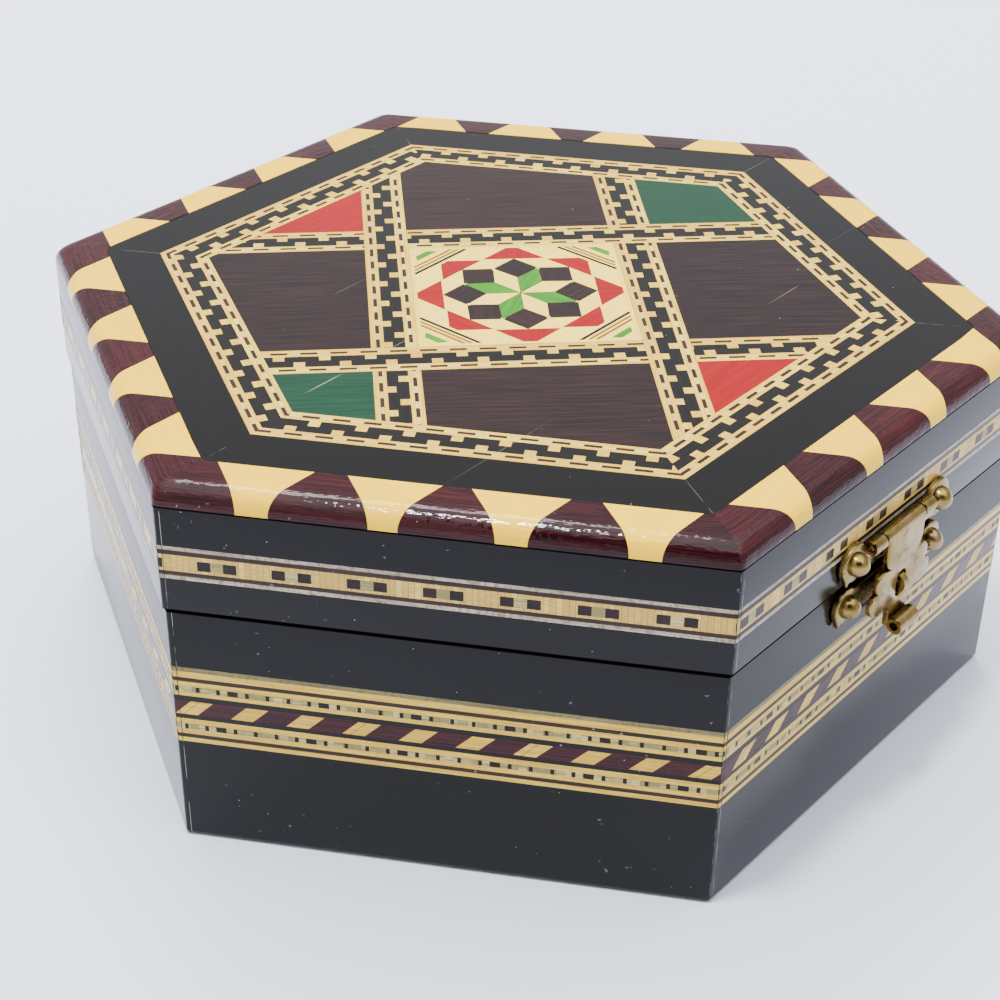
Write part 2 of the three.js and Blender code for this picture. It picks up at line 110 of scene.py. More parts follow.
def end_material(tree, shader, colour, relief=None, strength=0.0, depth=0.0):
    """Joins the colour to the shader, and the relief with its depth in millimetres."""
    tree.links.new(colour, shader.inputs["Base Color"])
    if relief is not None:
        bump = add_node(tree, "ShaderNodeBump", {"Strength": strength, "Distance": depth * MM},
                        {"Height": relief})
        tree.links.new(bump.outputs["Normal"], shader.inputs["Normal"])


# %% [markdown]
# Small mixes of colours and numbers come up in every finish: a mask from a noise, one colour over
# another, and the dust and hair scratches that sit in old varnish.

# %% Shader steps
def join(tree, sockets, values):
    """Sets each socket to its value, or links it where the value comes from another node."""
    for socket, value in zip(sockets, values):
        if isinstance(value, (float, int, tuple)):
            socket.default_value = value
        else:
            tree.links.new(value, socket)


def mask(tree, source, low, high):
    made = add_node(tree, "ShaderNodeMapRange", {"From Min": low, "From Max": high}, {"Value": source},
                    interpolation_type="SMOOTHSTEP")
    return made.outputs["Result"]


def over(tree, factor, below, above):
    made = add_node(tree, "ShaderNodeMix", data_type="RGBA")
    join(tree, (made.inputs[0], made.inputs[6], made.inputs[7]), (factor, below, above))
    return made.outputs[2]


def maths(tree, operation, first, second):
    made = add_node(tree, "ShaderNodeMath", operation=operation)
    join(tree, made.inputs, (first, second))
    return made.outputs[0]


def noise(tree, vector, scale, detail=3.0, roughness=0.5):
    made = add_node(tree, "ShaderNodeTexNoise",
                    {"Scale": scale, "Detail": detail, "Roughness": roughness}, {"Vector": vector})
    return made.outputs["Fac"]


def stretched(tree, vector, scale, turn=(0.0, 0.0, 0.0)):
    made = add_node(tree, "ShaderNodeMapping", {"Scale": scale, "Rotation": turn}, {"Vector": vector})
    return made.outputs["Vector"]


def along_grain(tree, scale):
    """The grain map, in millimetres, squeezed so that a noise over it runs with the grain."""
    return stretched(tree, add_node(tree, "ShaderNodeUVMap", uv_map="grain").outputs["UV"], scale)


def mark(tree, name):
    """A number that the mesh itself carries: a piece's tone, worn wood, or a joint."""
    return add_node(tree, "ShaderNodeAttribute", attribute_name=name).outputs["Fac"]


def dusty(tree, place, colour, amount, scratch_colour, dust_colour):
    """Lays a few fine scratches and lint specks about 0.2 mm across over the colour."""
    cells = add_node(tree, "ShaderNodeTexVoronoi", {"Scale": 1 / (1.5 * MM)}, {"Vector": place})
    near = mask(tree, cells.outputs["Distance"], 0.06, 0.02)
    pick = add_node(tree, "ShaderNodeSeparateColor", links={"Color": cells.outputs["Color"]})
    rare = mask(tree, pick.outputs[0], 1 - amount, 1 - amount * 0.6)
    found = []
    for turn, patch_scale in ((0.5, 63.0), (2.1, 81.0)):
        lines = noise(tree, stretched(tree, place, (6.0, 900.0, 900.0), (0.3, 0.2, turn)), 1.0, 2.0)
        part = mask(tree, noise(tree, place, patch_scale, 0.0), 0.55, 0.65)
        found.append(maths(tree, "MULTIPLY", mask(tree, lines, 0.72, 0.76), part))
    scratches = maths(tree, "MULTIPLY", maths(tree, "MAXIMUM", *found), 0.35)
    colour = over(tree, scratches, colour, linear(scratch_colour))
    return over(tree, maths(tree, "MULTIPLY", near, rare), colour, linear(dust_colour))


# %% [markdown]
# Ebonised wood is a plain close-grained wood stained black and varnished to a gloss. Seen square on it is
# nearly black, and at a glancing angle the varnish mirrors the pale room. The arrises are rubbed pale.

# %% Black varnished wood
def ebonised_wood():
    material, tree, shader, place = start_material("ebonised_wood_gloss_varnish", Roughness=0.16, IOR=1.27)
    streaks = noise(tree, along_grain(tree, (0.05, 1.6, 1.0)), 1.0, 2.0)
    colour = over(tree, streaks, linear("#070707"), linear("#0E0D0D"))
    rubs = mask(tree, noise(tree, place, 420.0, 2.0), 0.38, 0.62)
    rubbed = maths(tree, "MULTIPLY", mark(tree, "wear"), rubs)
    colour = over(tree, mask(tree, rubbed, 0.35, 0.8), colour, linear("#8E8880"))
    fills = mask(tree, noise(tree, place, 260.0, 1.0), 0.3, 0.55)
    filled = maths(tree, "MULTIPLY", mark(tree, "joint"), fills)
    colour = over(tree, mask(tree, filled, 0.3, 0.9), colour, linear("#9A9690"))
    colour = dusty(tree, place, colour, 0.07, "#8C8F96", "#C9CBD0")
    end_material(tree, shader, colour, noise(tree, place, 160.0, 1.0), 0.5, 0.018)
    return material


# %% [markdown]
# The veneers and rods are all straight-grained woods, dyed or plain. One recipe serves them: long streaks
# that run with the grain, short pores, a tone of its own for each cut piece, and the same clear varnish.
# The pieces carry a UV map called grain, in millimetres, whose U axis runs along the wood's grain.

# %% Veneer recipe
deep_pores = 0.35


def veneer(name, light, dark, streak_width, pore_depth, spread, roughness=0.2, dust=0.06, ripples=0.0,
           mottle=0.0):
    material, tree, shader, place = start_material(name, Roughness=roughness, IOR=1.28)
    streaks = noise(tree, along_grain(tree, (0.08, 1 / streak_width, 1.0)), 1.0, 4.0, 0.6)
    pores = noise(tree, along_grain(tree, (0.5, 3.0, 1.0)), 1.0, 2.0)
    tone = maths(tree, "MULTIPLY", mark(tree, "tone"), spread)
    colour = over(tree, maths(tree, "ADD", mask(tree, streaks, 0.3, 0.72), tone), linear(light), linear(dark))
    darker = over(tree, 0.5, linear(dark), linear("#120C0C"))
    colour = over(tree, maths(tree, "MULTIPLY", mask(tree, pores, 0.6, 0.75), pore_depth), colour, darker)
    if mottle:
        dirt = mask(tree, noise(tree, place, 1500.0, 3.0, 0.7), 0.48, 0.62)
        colour = over(tree, maths(tree, "MULTIPLY", dirt, mottle), colour, darker)
    colour = dusty(tree, place, colour, dust, "#B9AFA6", "#D8D6D2")
    relief = maths(tree, "MULTIPLY", noise(tree, place, 240.0, 1.0), 0.5)
    if pore_depth > deep_pores:
        relief = maths(tree, "ADD", relief, maths(tree, "MULTIPLY", pores, -pore_depth))
    if ripples:
        brushed = noise(tree, along_grain(tree, (0.45, 1.7, 1.0)), 1.0, 1.0, 0.6)
        rough_coat = maths(tree, "ADD", noise(tree, place, 800.0, 1.0), brushed)
        relief = maths(tree, "ADD", relief, maths(tree, "MULTIPLY", rough_coat, ripples))
    end_material(tree, shader, colour, relief, 0.45, 0.03)
    return material


# %% [markdown]
# The woods of this box. The edging and the wine panels are woods with a figure of their own, and the small
# rods are dyed right through so that a sawn slice has the same colour everywhere. The values are the light
# and the dark of the streaks, their width, the depth of the pores, and how far the pieces differ in tone.

# %% Veneers and rods
ebony = ebonised_wood()
lemonwood = veneer("lemonwood_edging_varnished", "#F4C61C", "#ECBA14", 0.9, 0.14, 0.5, 0.06, ripples=4.0)
maple = veneer("maple_banding_varnished", "#E6C64C", "#C79E36", 0.5, 0.15, 0.6, 0.22, mottle=0.15)
rod_maple = veneer("maple_rod_ends_varnished", "#E9D070", "#C29E4C", 0.3, 0.3, 0.8, 0.22, mottle=0.15)
khaki_rod = veneer("tinted_rod_ends_varnished", "#DFC987", "#857A4A", 0.3, 0.3, 0.9, 0.24)
worn_maple = veneer("maple_line_dirty_varnish", "#C2B89E", "#8A806C", 0.25, 0.5, 0.3, 0.35, mottle=0.75)
olive_line = veneer("olive_wood_line_varnished", "#8D8354", "#625A38", 0.4, 0.3, 0.5, 0.25, mottle=0.5)
walnut_line = veneer("walnut_line_varnished", "#3A2418", "#1C110B", 0.3, 0.5, 0.4, 0.25)
black_rod = veneer("blackened_pear_varnished", "#15110F", "#0A0808", 0.3, 0.3, 0.5, 0.22)
rosewood = veneer("rosewood_varnished", "#421519", "#1A080B", 0.35, 0.4, 0.4, 0.05, ripples=4.0)
wine = veneer("wine_dyed_veneer_varnished", "#2D1616", "#0B0505", 0.45, 0.6, 0.3, 0.25, 0.16)
brown_dyed = veneer("brown_dyed_pieces_varnished", "#2A1613", "#160B0B", 0.8, 0.5, 0.5, 0.24)
red_dyed = veneer("red_dyed_veneer_varnished", "#920008", "#820006", 0.9, 0.1, 0.3, 0.24)
green_dyed = veneer("green_dyed_veneer_varnished", "#0B3B26", "#052C1B", 0.6, 0.12, 0.2, 0.24, 0.1,
                    mottle=0.1)
leaf_green = veneer("leaf_green_dyed_pieces_varnished", "#3D8A18", "#2E6E12", 0.9, 0.1, 0.4, 0.24)
cream = veneer("holly_pieces_varnished", "#F6DA62", "#F0CC50", 0.9, 0.08, 0.5, 0.24)
straw = veneer("boxwood_pieces_varnished", "#F3D868", "#E6C24E", 0.7, 0.1, 0.4, 0.24)
amber = veneer("amber_dyed_line_varnished", "#885A0A", "#6E4806", 0.6, 0.2, 0.4, 0.24)
print("wood finishes:", len(bpy.data.materials))


# %% [markdown]
# The hasp is stamped brass sheet that has dulled with age: brown in the hollows, bright where fingers rub
# it. The inside of the box is lined with flocked paper, which is dark red and has no shine at all.

# %% Aged brass and lining
def aged_brass():
    material, tree, shader, place = start_material("aged_stamped_brass", Metallic=1.0)
    cloud = mask(tree, noise(tree, place, 330.0, 5.0, 0.6), 0.35, 0.65)
    stain = mask(tree, noise(tree, place, 380.0, 6.0, 0.65), 0.52, 0.72)
    blush = mask(tree, noise(tree, place, 190.0, 3.0), 0.52, 0.7)
    colour = over(tree, cloud, linear("#8F7A48"), linear("#75612F"))
    colour = over(tree, maths(tree, "MULTIPLY", blush, 0.6), colour, linear("#9C8063"))
    colour = over(tree, maths(tree, "MULTIPLY", stain, 0.6), colour, linear("#30250F"))
    rough = add_node(tree, "ShaderNodeMapRange", {"To Min": 0.22, "To Max": 0.5}, {"Value": stain})
    tree.links.new(rough.outputs["Result"], shader.inputs["Roughness"])
    end_material(tree, shader, colour, noise(tree, place, 900.0, 4.0), 0.4, 0.05)
    return material


def flocked_paper():
    material, tree, shader, place = start_material("flocked_lining_paper", Roughness=0.95, IOR=1.05)
    shader.inputs["Sheen Weight"].default_value = 0.2
    shader.inputs["Sheen Tint"].default_value = linear("#7A2430")
    pile = noise(tree, place, 1500.0, 2.0)
    worn = noise(tree, place, 60.0, 4.0)
    colour = over(tree, mask(tree, worn, 0.35, 0.7), linear("#4E0C14"), linear("#3D080F"))
    colour = over(tree, mask(tree, pile, 0.45, 0.7), colour, linear("#641620"))
    end_material(tree, shader, colour, pile, 0.6, 0.1)
    return material


def bare_board():
    material, tree, shader, place = start_material("bare_stained_board", Roughness=0.6)
    rings = noise(tree, stretched(tree, place, (18.0, 420.0, 420.0)), 1.0, 6.0, 0.6)
    colour = over(tree, mask(tree, rings, 0.3, 0.7), linear("#8B6846"), linear("#5E4330"))
    end_material(tree, shader, colour, rings, 0.5, 0.08)
    return material


# Painted shade: this matte black stands for the shadow in the gap between the lid and the body.
def black_rim_gap_shade_paint():
    material, tree, shader, place = start_material("black_rim_painted_gap_shade", Roughness=0.95, IOR=1.05)
    fibres = noise(tree, stretched(tree, place, (90.0, 90.0, 700.0)), 1.0, 4.0)
    colour = over(tree, mask(tree, fibres, 0.35, 0.7), linear("#060606"), linear("#11100F"))
    end_material(tree, shader, colour)
    return material


brass = aged_brass()
rim_gap_shade = black_rim_gap_shade_paint()
lining = flocked_paper()
board = bare_board()
print("finishes in all:", len(bpy.data.materials))


# %% [markdown]
# Each side of the box is worked on as a flat strip: along it to the right, up from the table, and out from
# the axis. One function carries such a point to its side and bends it round the softened corner. The
# others start a piece, chart its grain, and hand it over with its body and the solids that it stands for.

# %% From a flat strip to a side of the box
sharp_angle = math.radians(32)
chart_shift = 97


def polar(distance, degrees):
    return Vector((distance * math.cos(math.radians(degrees)), distance * math.sin(math.radians(degrees)), 0))


def on_side(turn, face, along, up, rounding=0.0, proud=0.0):
    half, bend = face * TAN30, rounding * TAN30
    past = abs(along) - (half - bend)
    out = face + proud
    if rounding > 0 and past > 0:
        swing = math.radians(30) * min(1.0, past / bend)
        out = face - rounding + (rounding + proud) * math.cos(swing)
        along = math.copysign(half - bend + (rounding + proud) * math.sin(swing), along)
    return polar(out, turn) + polar(along, turn + 90) + Vector((0, 0, up))


def blank_sheet():
    sheet = bmesh.new()
    for name in ("tone", "wear", "joint"):
        sheet.verts.layers.float.new(name)
    sheet.loops.layers.uv.new("grain")
    return sheet


def chart_grain(sheet):
    """Writes the grain map from flat coordinates, and shifts it by each piece's own tone."""
    tone, chart = sheet.verts.layers.float["tone"], sheet.loops.layers.uv["grain"]
    for face in sheet.faces:
        for corner in face.loops:
            shift = corner.vert[tone] * chart_shift
            corner[chart].uv = (corner.vert.co.x / MM + shift, corner.vert.co.y / MM + shift * 0.7)


def as_mesh(name, sheet):
    mesh = bpy.data.meshes.new(name)
    sheet.to_mesh(mesh)
    sheet.free()
    return mesh


def add_object(name, data):
    made = bpy.data.objects.new(name, data)
    bpy.context.scene.collection.objects.link(made)
    return made


def hand_over(name, mesh, body, nodes):
    piece = add_object(name, mesh)
    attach(piece, body)
    if nodes:
        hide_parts(*nodes)


def finish_piece(name, sheet, materials, body, slot, *nodes):
    bmesh.ops.recalc_face_normals(sheet, faces=sheet.faces)
    mesh = as_mesh(name, sheet)
    mesh.set_sharp_from_angle(angle=sharp_angle)
    for material in materials:
        mesh.materials.append(material)
    hand_over(name, mesh, body, nodes)


# %% [markdown]
# A wall, a border strip or an edging is one profile run along a side and mitred at both ends. The loft
# takes the profile's points, each with its softening and wear, and the stations along the side.

# %% A profile run along one side
def skin(sheet, rows, material_of, cap_material, smooth=False):
    """Closes rows of points into a bar. Each point is a vertex with its place on the grain map."""
    chart = sheet.loops.layers.uv["grain"]
    for left, right in zip(rows, rows[1:]):
        for i in range(len(left)):
            k = (i + 1) % len(left)
            corners = (left[i], left[k], right[k], right[i])
            face = sheet.faces.new([vert for vert, _ in corners])
            face.material_index = material_of[i]
            face.smooth = smooth
            for corner, (_, spot) in zip(face.loops, corners):
                corner[chart].uv = spot
    for row in (rows[0], rows[-1]):
        sheet.faces.new([vert for vert, _ in row]).material_index = cap_material


def run_profile(sheet, turn, profile, stations, material_of, tone):
    """profile: (out, up, rounding, wear); stations: (which end, distance from the mitre, joint, wear)."""
    layers = sheet.verts.layers.float
    rows = []
    for end, distance, joint, rubbed in stations:
        row = []
        for out, up, rounding, wear in profile:
            along = end * (out * TAN30 - distance)
            vert = sheet.verts.new(on_side(turn, out, along, up, rounding))
            vert[layers["tone"]], vert[layers["wear"]], vert[layers["joint"]] = tone, max(wear, rubbed), joint
            row.append((vert, (along / MM + tone * chart_shift, (out + up) / MM)))
        rows.append(row)
    skin(sheet, rows, material_of, 0)


def arc(centre_out, centre_up, radius, start, end, steps, rounding, worn_step=None):
    points = []
    for i in range(steps + 1):
        spot = polar(radius, start + (end - start) * i / steps)
        points.append((centre_out + spot.x, centre_up + spot.y, rounding, 0.5 if i == worn_step else 0.0))
    return points


# %% [markdown]
# The six walls of the body and of the lid. Their outside is black varnish, and the inside is lined. The rims
# and the lid's lower edge are matte black as painted shade for the dark shadow line in the gap between lid
# and body.
# At the left end of each face the next wall's veneer laps over, which leaves a fine pale joint line.

# %% Body walls
corner_radius = 0.55 * MM
inner_softening = 0.2 * MM
lap = 0.8 * MM
lap_line = 0.09 * MM
bend_shares = (0.25, 0.5, 0.75, 1)


def wall_stations():
    curve = [(0, 0, 0.8)] + [(corner_radius * TAN30 * share, 0, 0) for share in bend_shares]
    left = curve + [(lap - lap_line, 0, 0), (lap, 1, 0), (lap + lap_line, 0, 0)]
    return [(-1, *station) for station in left] + [(1, *station) for station in reversed(curve)]


def make_wall(name, turn, face, low, high, foot, body, node, tone):
    outside, inside = face - recess, face - wall
    edge = 0.2 * MM
    profile = [(inside, low, inner_softening, 0)]
    profile += arc(outside - foot, low + foot, foot, -90, 0, 4, corner_radius, 2)
    rim_start = len(profile)
    profile += arc(outside - edge, high - edge, edge, 0, 90, 4, corner_radius)
    profile += arc(inside + edge, high - edge, edge, 90, 180, 2, inner_softening)
    # Painted shade: the rim faces, and on the lid its lower edge, get the matte black that stands for the
    # shadow in the gap between lid and body.
    material_of = [0] * rim_start + [2] * (len(profile) - 1 - rim_start) + [1]
    if body == "lid":
        material_of[:rim_start - 1] = [2] * (rim_start - 1)
    sheet = blank_sheet()
    run_profile(sheet, turn, profile, wall_stations(), material_of, tone)
    finish_piece(name, sheet, [ebony, lining, rim_gap_shade], body, "ebonised_wood", node)


for index, (side, turn) in enumerate(sides.items()):
    make_wall(f"body_board_{side}", turn, body_face, 0.0, body_top, 0.9 * MM, "body",
              f"body_wall_{side}", index * 0.13)
    make_wall(f"lid_board_{side}", turn, lid_face, lid_bottom, edging_low, 0.25 * MM, "lid",
              f"lid_wall_{side}", index * 0.17)
print("walls:", 2 * len(sides))


# %% [markdown]
# The small repeated pieces of the inlay, such as teeth, dashes, dots and slanted blocks, are rows. A row is
# a Geometry Nodes tree: a line of points, one little block on each, a random tone for each block, and one
# material. Its sizes are inputs, so one tree lays every row on the box.

# %% Inlay row tree
def start_tree(name, inputs):
    """A new tree with its inputs, given by name with their kind of socket."""
    tree = bpy.data.node_groups.new(name, "GeometryNodeTree")
    tree.interface.new_socket("Geometry", in_out="OUTPUT", socket_type="NodeSocketGeometry")
    for label, kind in inputs.items():
        tree.interface.new_socket(label, in_out="INPUT", socket_type=f"NodeSocket{kind}")
    return tree, add_node(tree, "NodeGroupInput").outputs


def end_tree(tree, geometry, material):
    dressed = add_node(tree, "GeometryNodeSetMaterial", links={"Geometry": geometry, "Material": material})
    add_node(tree, "NodeGroupOutput", links={"Geometry": dressed.outputs["Geometry"]})


def vector_of(tree, **parts):
    return add_node(tree, "ShaderNodeCombineXYZ", links=parts).outputs[0]


def real_copies(tree, points, instance, toned_by=None):
    """Sets an instance on each point, gives each a random tone where a seed is given, and makes them real."""
    copies = add_node(tree, "GeometryNodeInstanceOnPoints", links={"Points": points, "Instance": instance})
    geometry = copies.outputs["Instances"]
    if toned_by is not None:
        chance = add_node(tree, "FunctionNodeRandomValue", data_type="FLOAT", links={"Seed": toned_by})
        toned = add_node(tree, "GeometryNodeStoreNamedAttribute", {"Name": "tone"}, {"Geometry": geometry},
                         data_type="FLOAT", domain="INSTANCE")
        value = [s for s in toned.inputs if s.name == "Value" and s.type == "VALUE"][0]
        tree.links.new([s for s in chance.outputs if s.type == "VALUE"][0], value)
        geometry = toned.outputs["Geometry"]
    real = add_node(tree, "GeometryNodeRealizeInstances", links={"Geometry": geometry})
    return real.outputs["Geometry"]


def inlay_row_tree():
    sizes = dict.fromkeys(("First", "Pitch", "Length", "Breadth", "Thickness", "Slant"), "Float")
    tree, given = start_tree("inlay_row", {**sizes, "Count": "Int", "Seed": "Int", "Wood": "Material"})
    points = add_node(tree, "GeometryNodeMeshLine", mode="OFFSET", links={
        "Count": given["Count"], "Start Location": vector_of(tree, X=given["First"]),
        "Offset": vector_of(tree, X=given["Pitch"])})
    size = vector_of(tree, X=given["Length"], Y=given["Breadth"], Z=given["Thickness"])
    block = add_node(tree, "GeometryNodeMeshCube", links={"Size": size})
    place = add_node(tree, "GeometryNodeInputPosition")
    height = add_node(tree, "ShaderNodeSeparateXYZ", links={"Vector": place.outputs[0]})
    lean = vector_of(tree, X=maths(tree, "MULTIPLY", height.outputs["Y"], given["Slant"]))
    slanted = add_node(tree, "GeometryNodeSetPosition", links={
        "Geometry": block.outputs["Mesh"], "Offset": lean})
    row = real_copies(tree, points.outputs["Mesh"], slanted.outputs["Geometry"], given["Seed"])
    end_tree(tree, row, given["Wood"])
    return tree


def grown_mesh(tree, values, points=()):
    """Runs a tree on the given points and returns what it makes as a plain mesh."""
    start = bpy.data.meshes.new("grower")
    start.from_pydata(points, [], [])
    holder = add_object("grower", start)
    modifier = holder.modifiers.new("grow", "NODES")
    modifier.node_group = tree
    for item in tree.interface.items_tree:
        if item.in_out == "INPUT" and item.name in values:
            modifier[item.identifier] = values[item.name]
    evaluated = holder.evaluated_get(bpy.context.evaluated_depsgraph_get())
    made = bpy.data.meshes.new_from_object(evaluated)
    bpy.data.objects.remove(holder)
    return made


row_tree = inlay_row_tree()
print("nodes in the row tree:", len(row_tree.nodes))


# %% [markdown]
# A strip of inlay is a list of rows laid over each other, each a hundredth of a millimetre prouder than the
# one below. A row is either one long line or repeated pieces. The helper lays it flat, and the side's
# mitres then cut it, so the pieces at a corner are cut through just as the saw does.

# %% Laying rows on a flat strip
seeds = iter(range(1, 10000))
row_thickness = 0.3


def line(wood, low, high, layer=0, **more):
    return {"wood": wood, "low": low, "high": high, "layer": layer, **more}


def repeat(wood, low, high, layer, first, pitch, length, slant=0.0):
    """first is where the first piece's middle lies, measured from the middle of the side."""
    return line(wood, low, high, layer, first=first, pitch=pitch, length=length, slant=slant)


def add_repeats(sheet, row, reach):
    skip = math.floor((row["first"] + reach) / row["pitch"])
    first = row["first"] - skip * row["pitch"]
    count = math.ceil((reach - first) / row["pitch"]) + 1
    mesh = grown_mesh(row_tree, {
        "First": first * MM, "Pitch": row["pitch"] * MM, "Length": row["length"] * MM,
        "Breadth": (row["high"] - row["low"]) * MM, "Thickness": row_thickness * MM,
        "Slant": row["slant"], "Count": count, "Seed": next(seeds), "Wood": row["wood"]})
    sheet.from_mesh(mesh)
    bpy.data.meshes.remove(mesh)


def laid_strip(rows, reach):
    """Lays the rows from -reach to +reach in millimetres: x along, y across, z out. Returns the woods too."""
    woods = list(dict.fromkeys(row["wood"] for row in rows))
    sheet = blank_sheet()
    tone_layer = sheet.verts.layers.float["tone"]
    chance = random.Random(7)
    for row in rows:
        before_verts, before_faces = len(sheet.verts), len(sheet.faces)
        if "pitch" in row:
            add_repeats(sheet, row, reach)
            sheet.verts.ensure_lookup_table()
        else:
            size = (row.get("length", 2 * reach) * MM, (row["high"] - row["low"]) * MM, row_thickness * MM, 1)
            shift = Matrix.Translation((row.get("middle", 0) * MM, 0, 0))
            bmesh.ops.create_cube(sheet, size=1, matrix=shift @ Matrix.Diagonal(size))
            sheet.verts.ensure_lookup_table()
            tone = chance.random()
            for vert in sheet.verts[before_verts:]:
                vert[tone_layer] = tone
        sheet.faces.ensure_lookup_table()
        top = (row["layer"] + 1) * level
        lift = Vector((0, (row["low"] + row["high"]) / 2 * MM, top - row_thickness / 2 * MM))
        for vert in sheet.verts[before_verts:]:
            vert.co += lift
        for face in sheet.faces[before_faces:]:
            face.material_index = woods.index(row["wood"])
    return sheet, woods


def saw(sheet, point, normal, drop=True):
    """Cuts the flat strip along an upright plane, and drops what lies beyond it."""
    everything = list(sheet.verts) + list(sheet.edges) + list(sheet.faces)
    cut = bmesh.ops.bisect_plane(sheet, geom=everything, dist=1e-8, plane_co=point, plane_no=normal,
                                 clear_outer=drop)
    if drop:
        edges = [e for e in cut["geom_cut"] if isinstance(e, bmesh.types.BMEdge)]
        bmesh.ops.holes_fill(sheet, edges=edges)


# %% [markdown]
# The wide band round the body and the narrow one round the lid. Heights are measured on the real box from
# the table up. The two kinds of dots, the slanted blocks and the paired squares all repeat at their own
# pitch, so they drift against each other along a side as they do on the real strips.

# %% Bands round the walls
dot_pitch, dot_length = 1.35, 1.31
block_pitch = 8.3
pair_pitch = 10.6


def body_band_rows(shift):
    low = body_band_low / MM
    rows = [
        line(maple, low, low + 13.65),
        line(walnut_line, low + 0.8, low + 1.5, 1),
        line(black_rod, low + 4.3, low + 8.5, 1),
        line(rosewood, low + 5.0, low + 7.7, 2),
        line(walnut_line, low + 11.1, low + 11.8, 1),
        line(olive_line, low + 12.9, low + 13.65, 1),
        repeat(maple, low + 5.15, low + 7.55, 3, shift - 36.75, block_pitch, 3.3, 1.0),
        repeat(walnut_line, low + 5.15, low + 7.55, 4, shift - 12.3, 3 * block_pitch, 0.1, 1.0),
    ]
    for height, start in ((low + 2.4, shift - 32.9), (low + 9.3, shift - 30.8)):
        rows.append(line(walnut_line, height - 0.02, height + 0.92, 1))
        rows.append(repeat(khaki_rod, height, height + 0.9, 2, start, dot_pitch, dot_length))
        for offset, length in ((0, 1.56), (2.15, 0.57), (5.2, 0.57), (8.3, 0.57), (11.35, 0.57)):
            rows.append(repeat(black_rod, height, height + 0.9, 3, start + offset, 10 * dot_pitch, length))
    return rows


def lid_band_rows(shift):
    low = lid_band_low / MM
    return [
        line(walnut_line, low, low + 5.4),
        line(worn_maple, low, low + 0.65, 1),
        line(worn_maple, low + 4.8, low + 5.4, 1),
        repeat(rod_maple, low + 1.35, low + 4.05, 1, shift - 31.5, 0.883, 0.84),
        repeat(khaki_rod, low + 1.8, low + 3.4, 2, shift - 31.55, pair_pitch, 1.7),
        repeat(brown_dyed, low + 1.82, low + 3.38, 3, shift - 33.4, pair_pitch, 1.9),
        repeat(brown_dyed, low + 1.82, low + 3.38, 3, shift - 29.7, pair_pitch, 1.9),
    ]


def make_band(name, turn, face, rows, body, nodes):
    half = face * TAN30
    low, high = rows[0]["low"], rows[0]["high"]
    for place, breadth in ((-half / MM + lap / MM, 0.09), (-half / MM, 0.16), (half / MM, 0.16)):
        rows.append(line(walnut_line, low, high, 4, middle=place, length=breadth))
    sheet, woods = laid_strip(rows, half / MM + 4)
    for sign in (-1, 1):
        saw(sheet, (sign * half, 0, 0), (sign, 0, 0))
        for share in bend_shares:
            saw(sheet, (sign * (half - corner_radius * TAN30 * share), 0, 0), (1, 0, 0), drop=False)
    chart_grain(sheet)
    for vert in sheet.verts:
        vert.co = on_side(turn, face - recess, vert.co.x, vert.co.y, corner_radius, vert.co.z)
    finish_piece(name, sheet, woods, body, "banding_wood", *nodes)


band_shifts = {"front_left": (0.0, 0.0), "front": (2.7, -4.9), "front_right": (1.1, 2.0),
               "back_right": (4.0, 5.0), "back": (2.2, 3.1), "back_left": (5.1, 6.2)}
for side, turn in sides.items():
    body_shift, lid_shift = band_shifts[side]
    make_band(f"body_marquetry_{side}", turn, body_face, body_band_rows(body_shift), "body",
              ["body_inlay_band"])
    make_band(f"lid_marquetry_{side}", turn, lid_face, lid_band_rows(lid_shift), "lid",
              ["lid_inlay_band"])
print("bands laid, rows grown:", next(seeds) - 1)


# %% [markdown]
# The edging is a row of blocks with slanted ends, light and dark in turn, glued to the rim and rounded over
# with a plane. Each block is lofted between two slanted cuts through the same rounded profile.

# %% Edging blocks
edging_inner = lid_face - 8 * MM
edging_radius = 3.0 * MM
light_centres = (-25.7, -7.4, 10.1, 27.9)
light_inner_half = 6.75
light_outer_half = 2.15
glue_gap = 0.015 * MM
edging_shift = {"front": 0.4, "front_left": -0.5, "back_left": 0.3, "back": 0.0, "back_right": 0.6,
                "front_right": 0.0}


def edging_profile(steps=10):
    outer, inner = lid_face, edging_inner + joint_gap
    points = [(inner, edging_low, 2.2 * MM), (outer - 0.15 * MM, edging_low, 1.0 * MM),
              (outer, edging_low + 0.12 * MM, 1.2 * MM)]
    for i in range(steps + 1):
        spot = polar(edging_radius, 90 * i / steps)
        softening = (1.3 + 1.5 * i / steps) * MM
        points.append((outer - edging_radius + spot.x, lid_top - edging_radius + spot.y, softening))
    return points + [(inner, lid_top, 2.8 * MM)]


def block_end(out, centre, side_sign):
    share = (out - edging_inner) / (lid_face - edging_inner)
    half = light_inner_half + (light_outer_half - light_inner_half) * share
    return (centre + side_sign * half) * MM


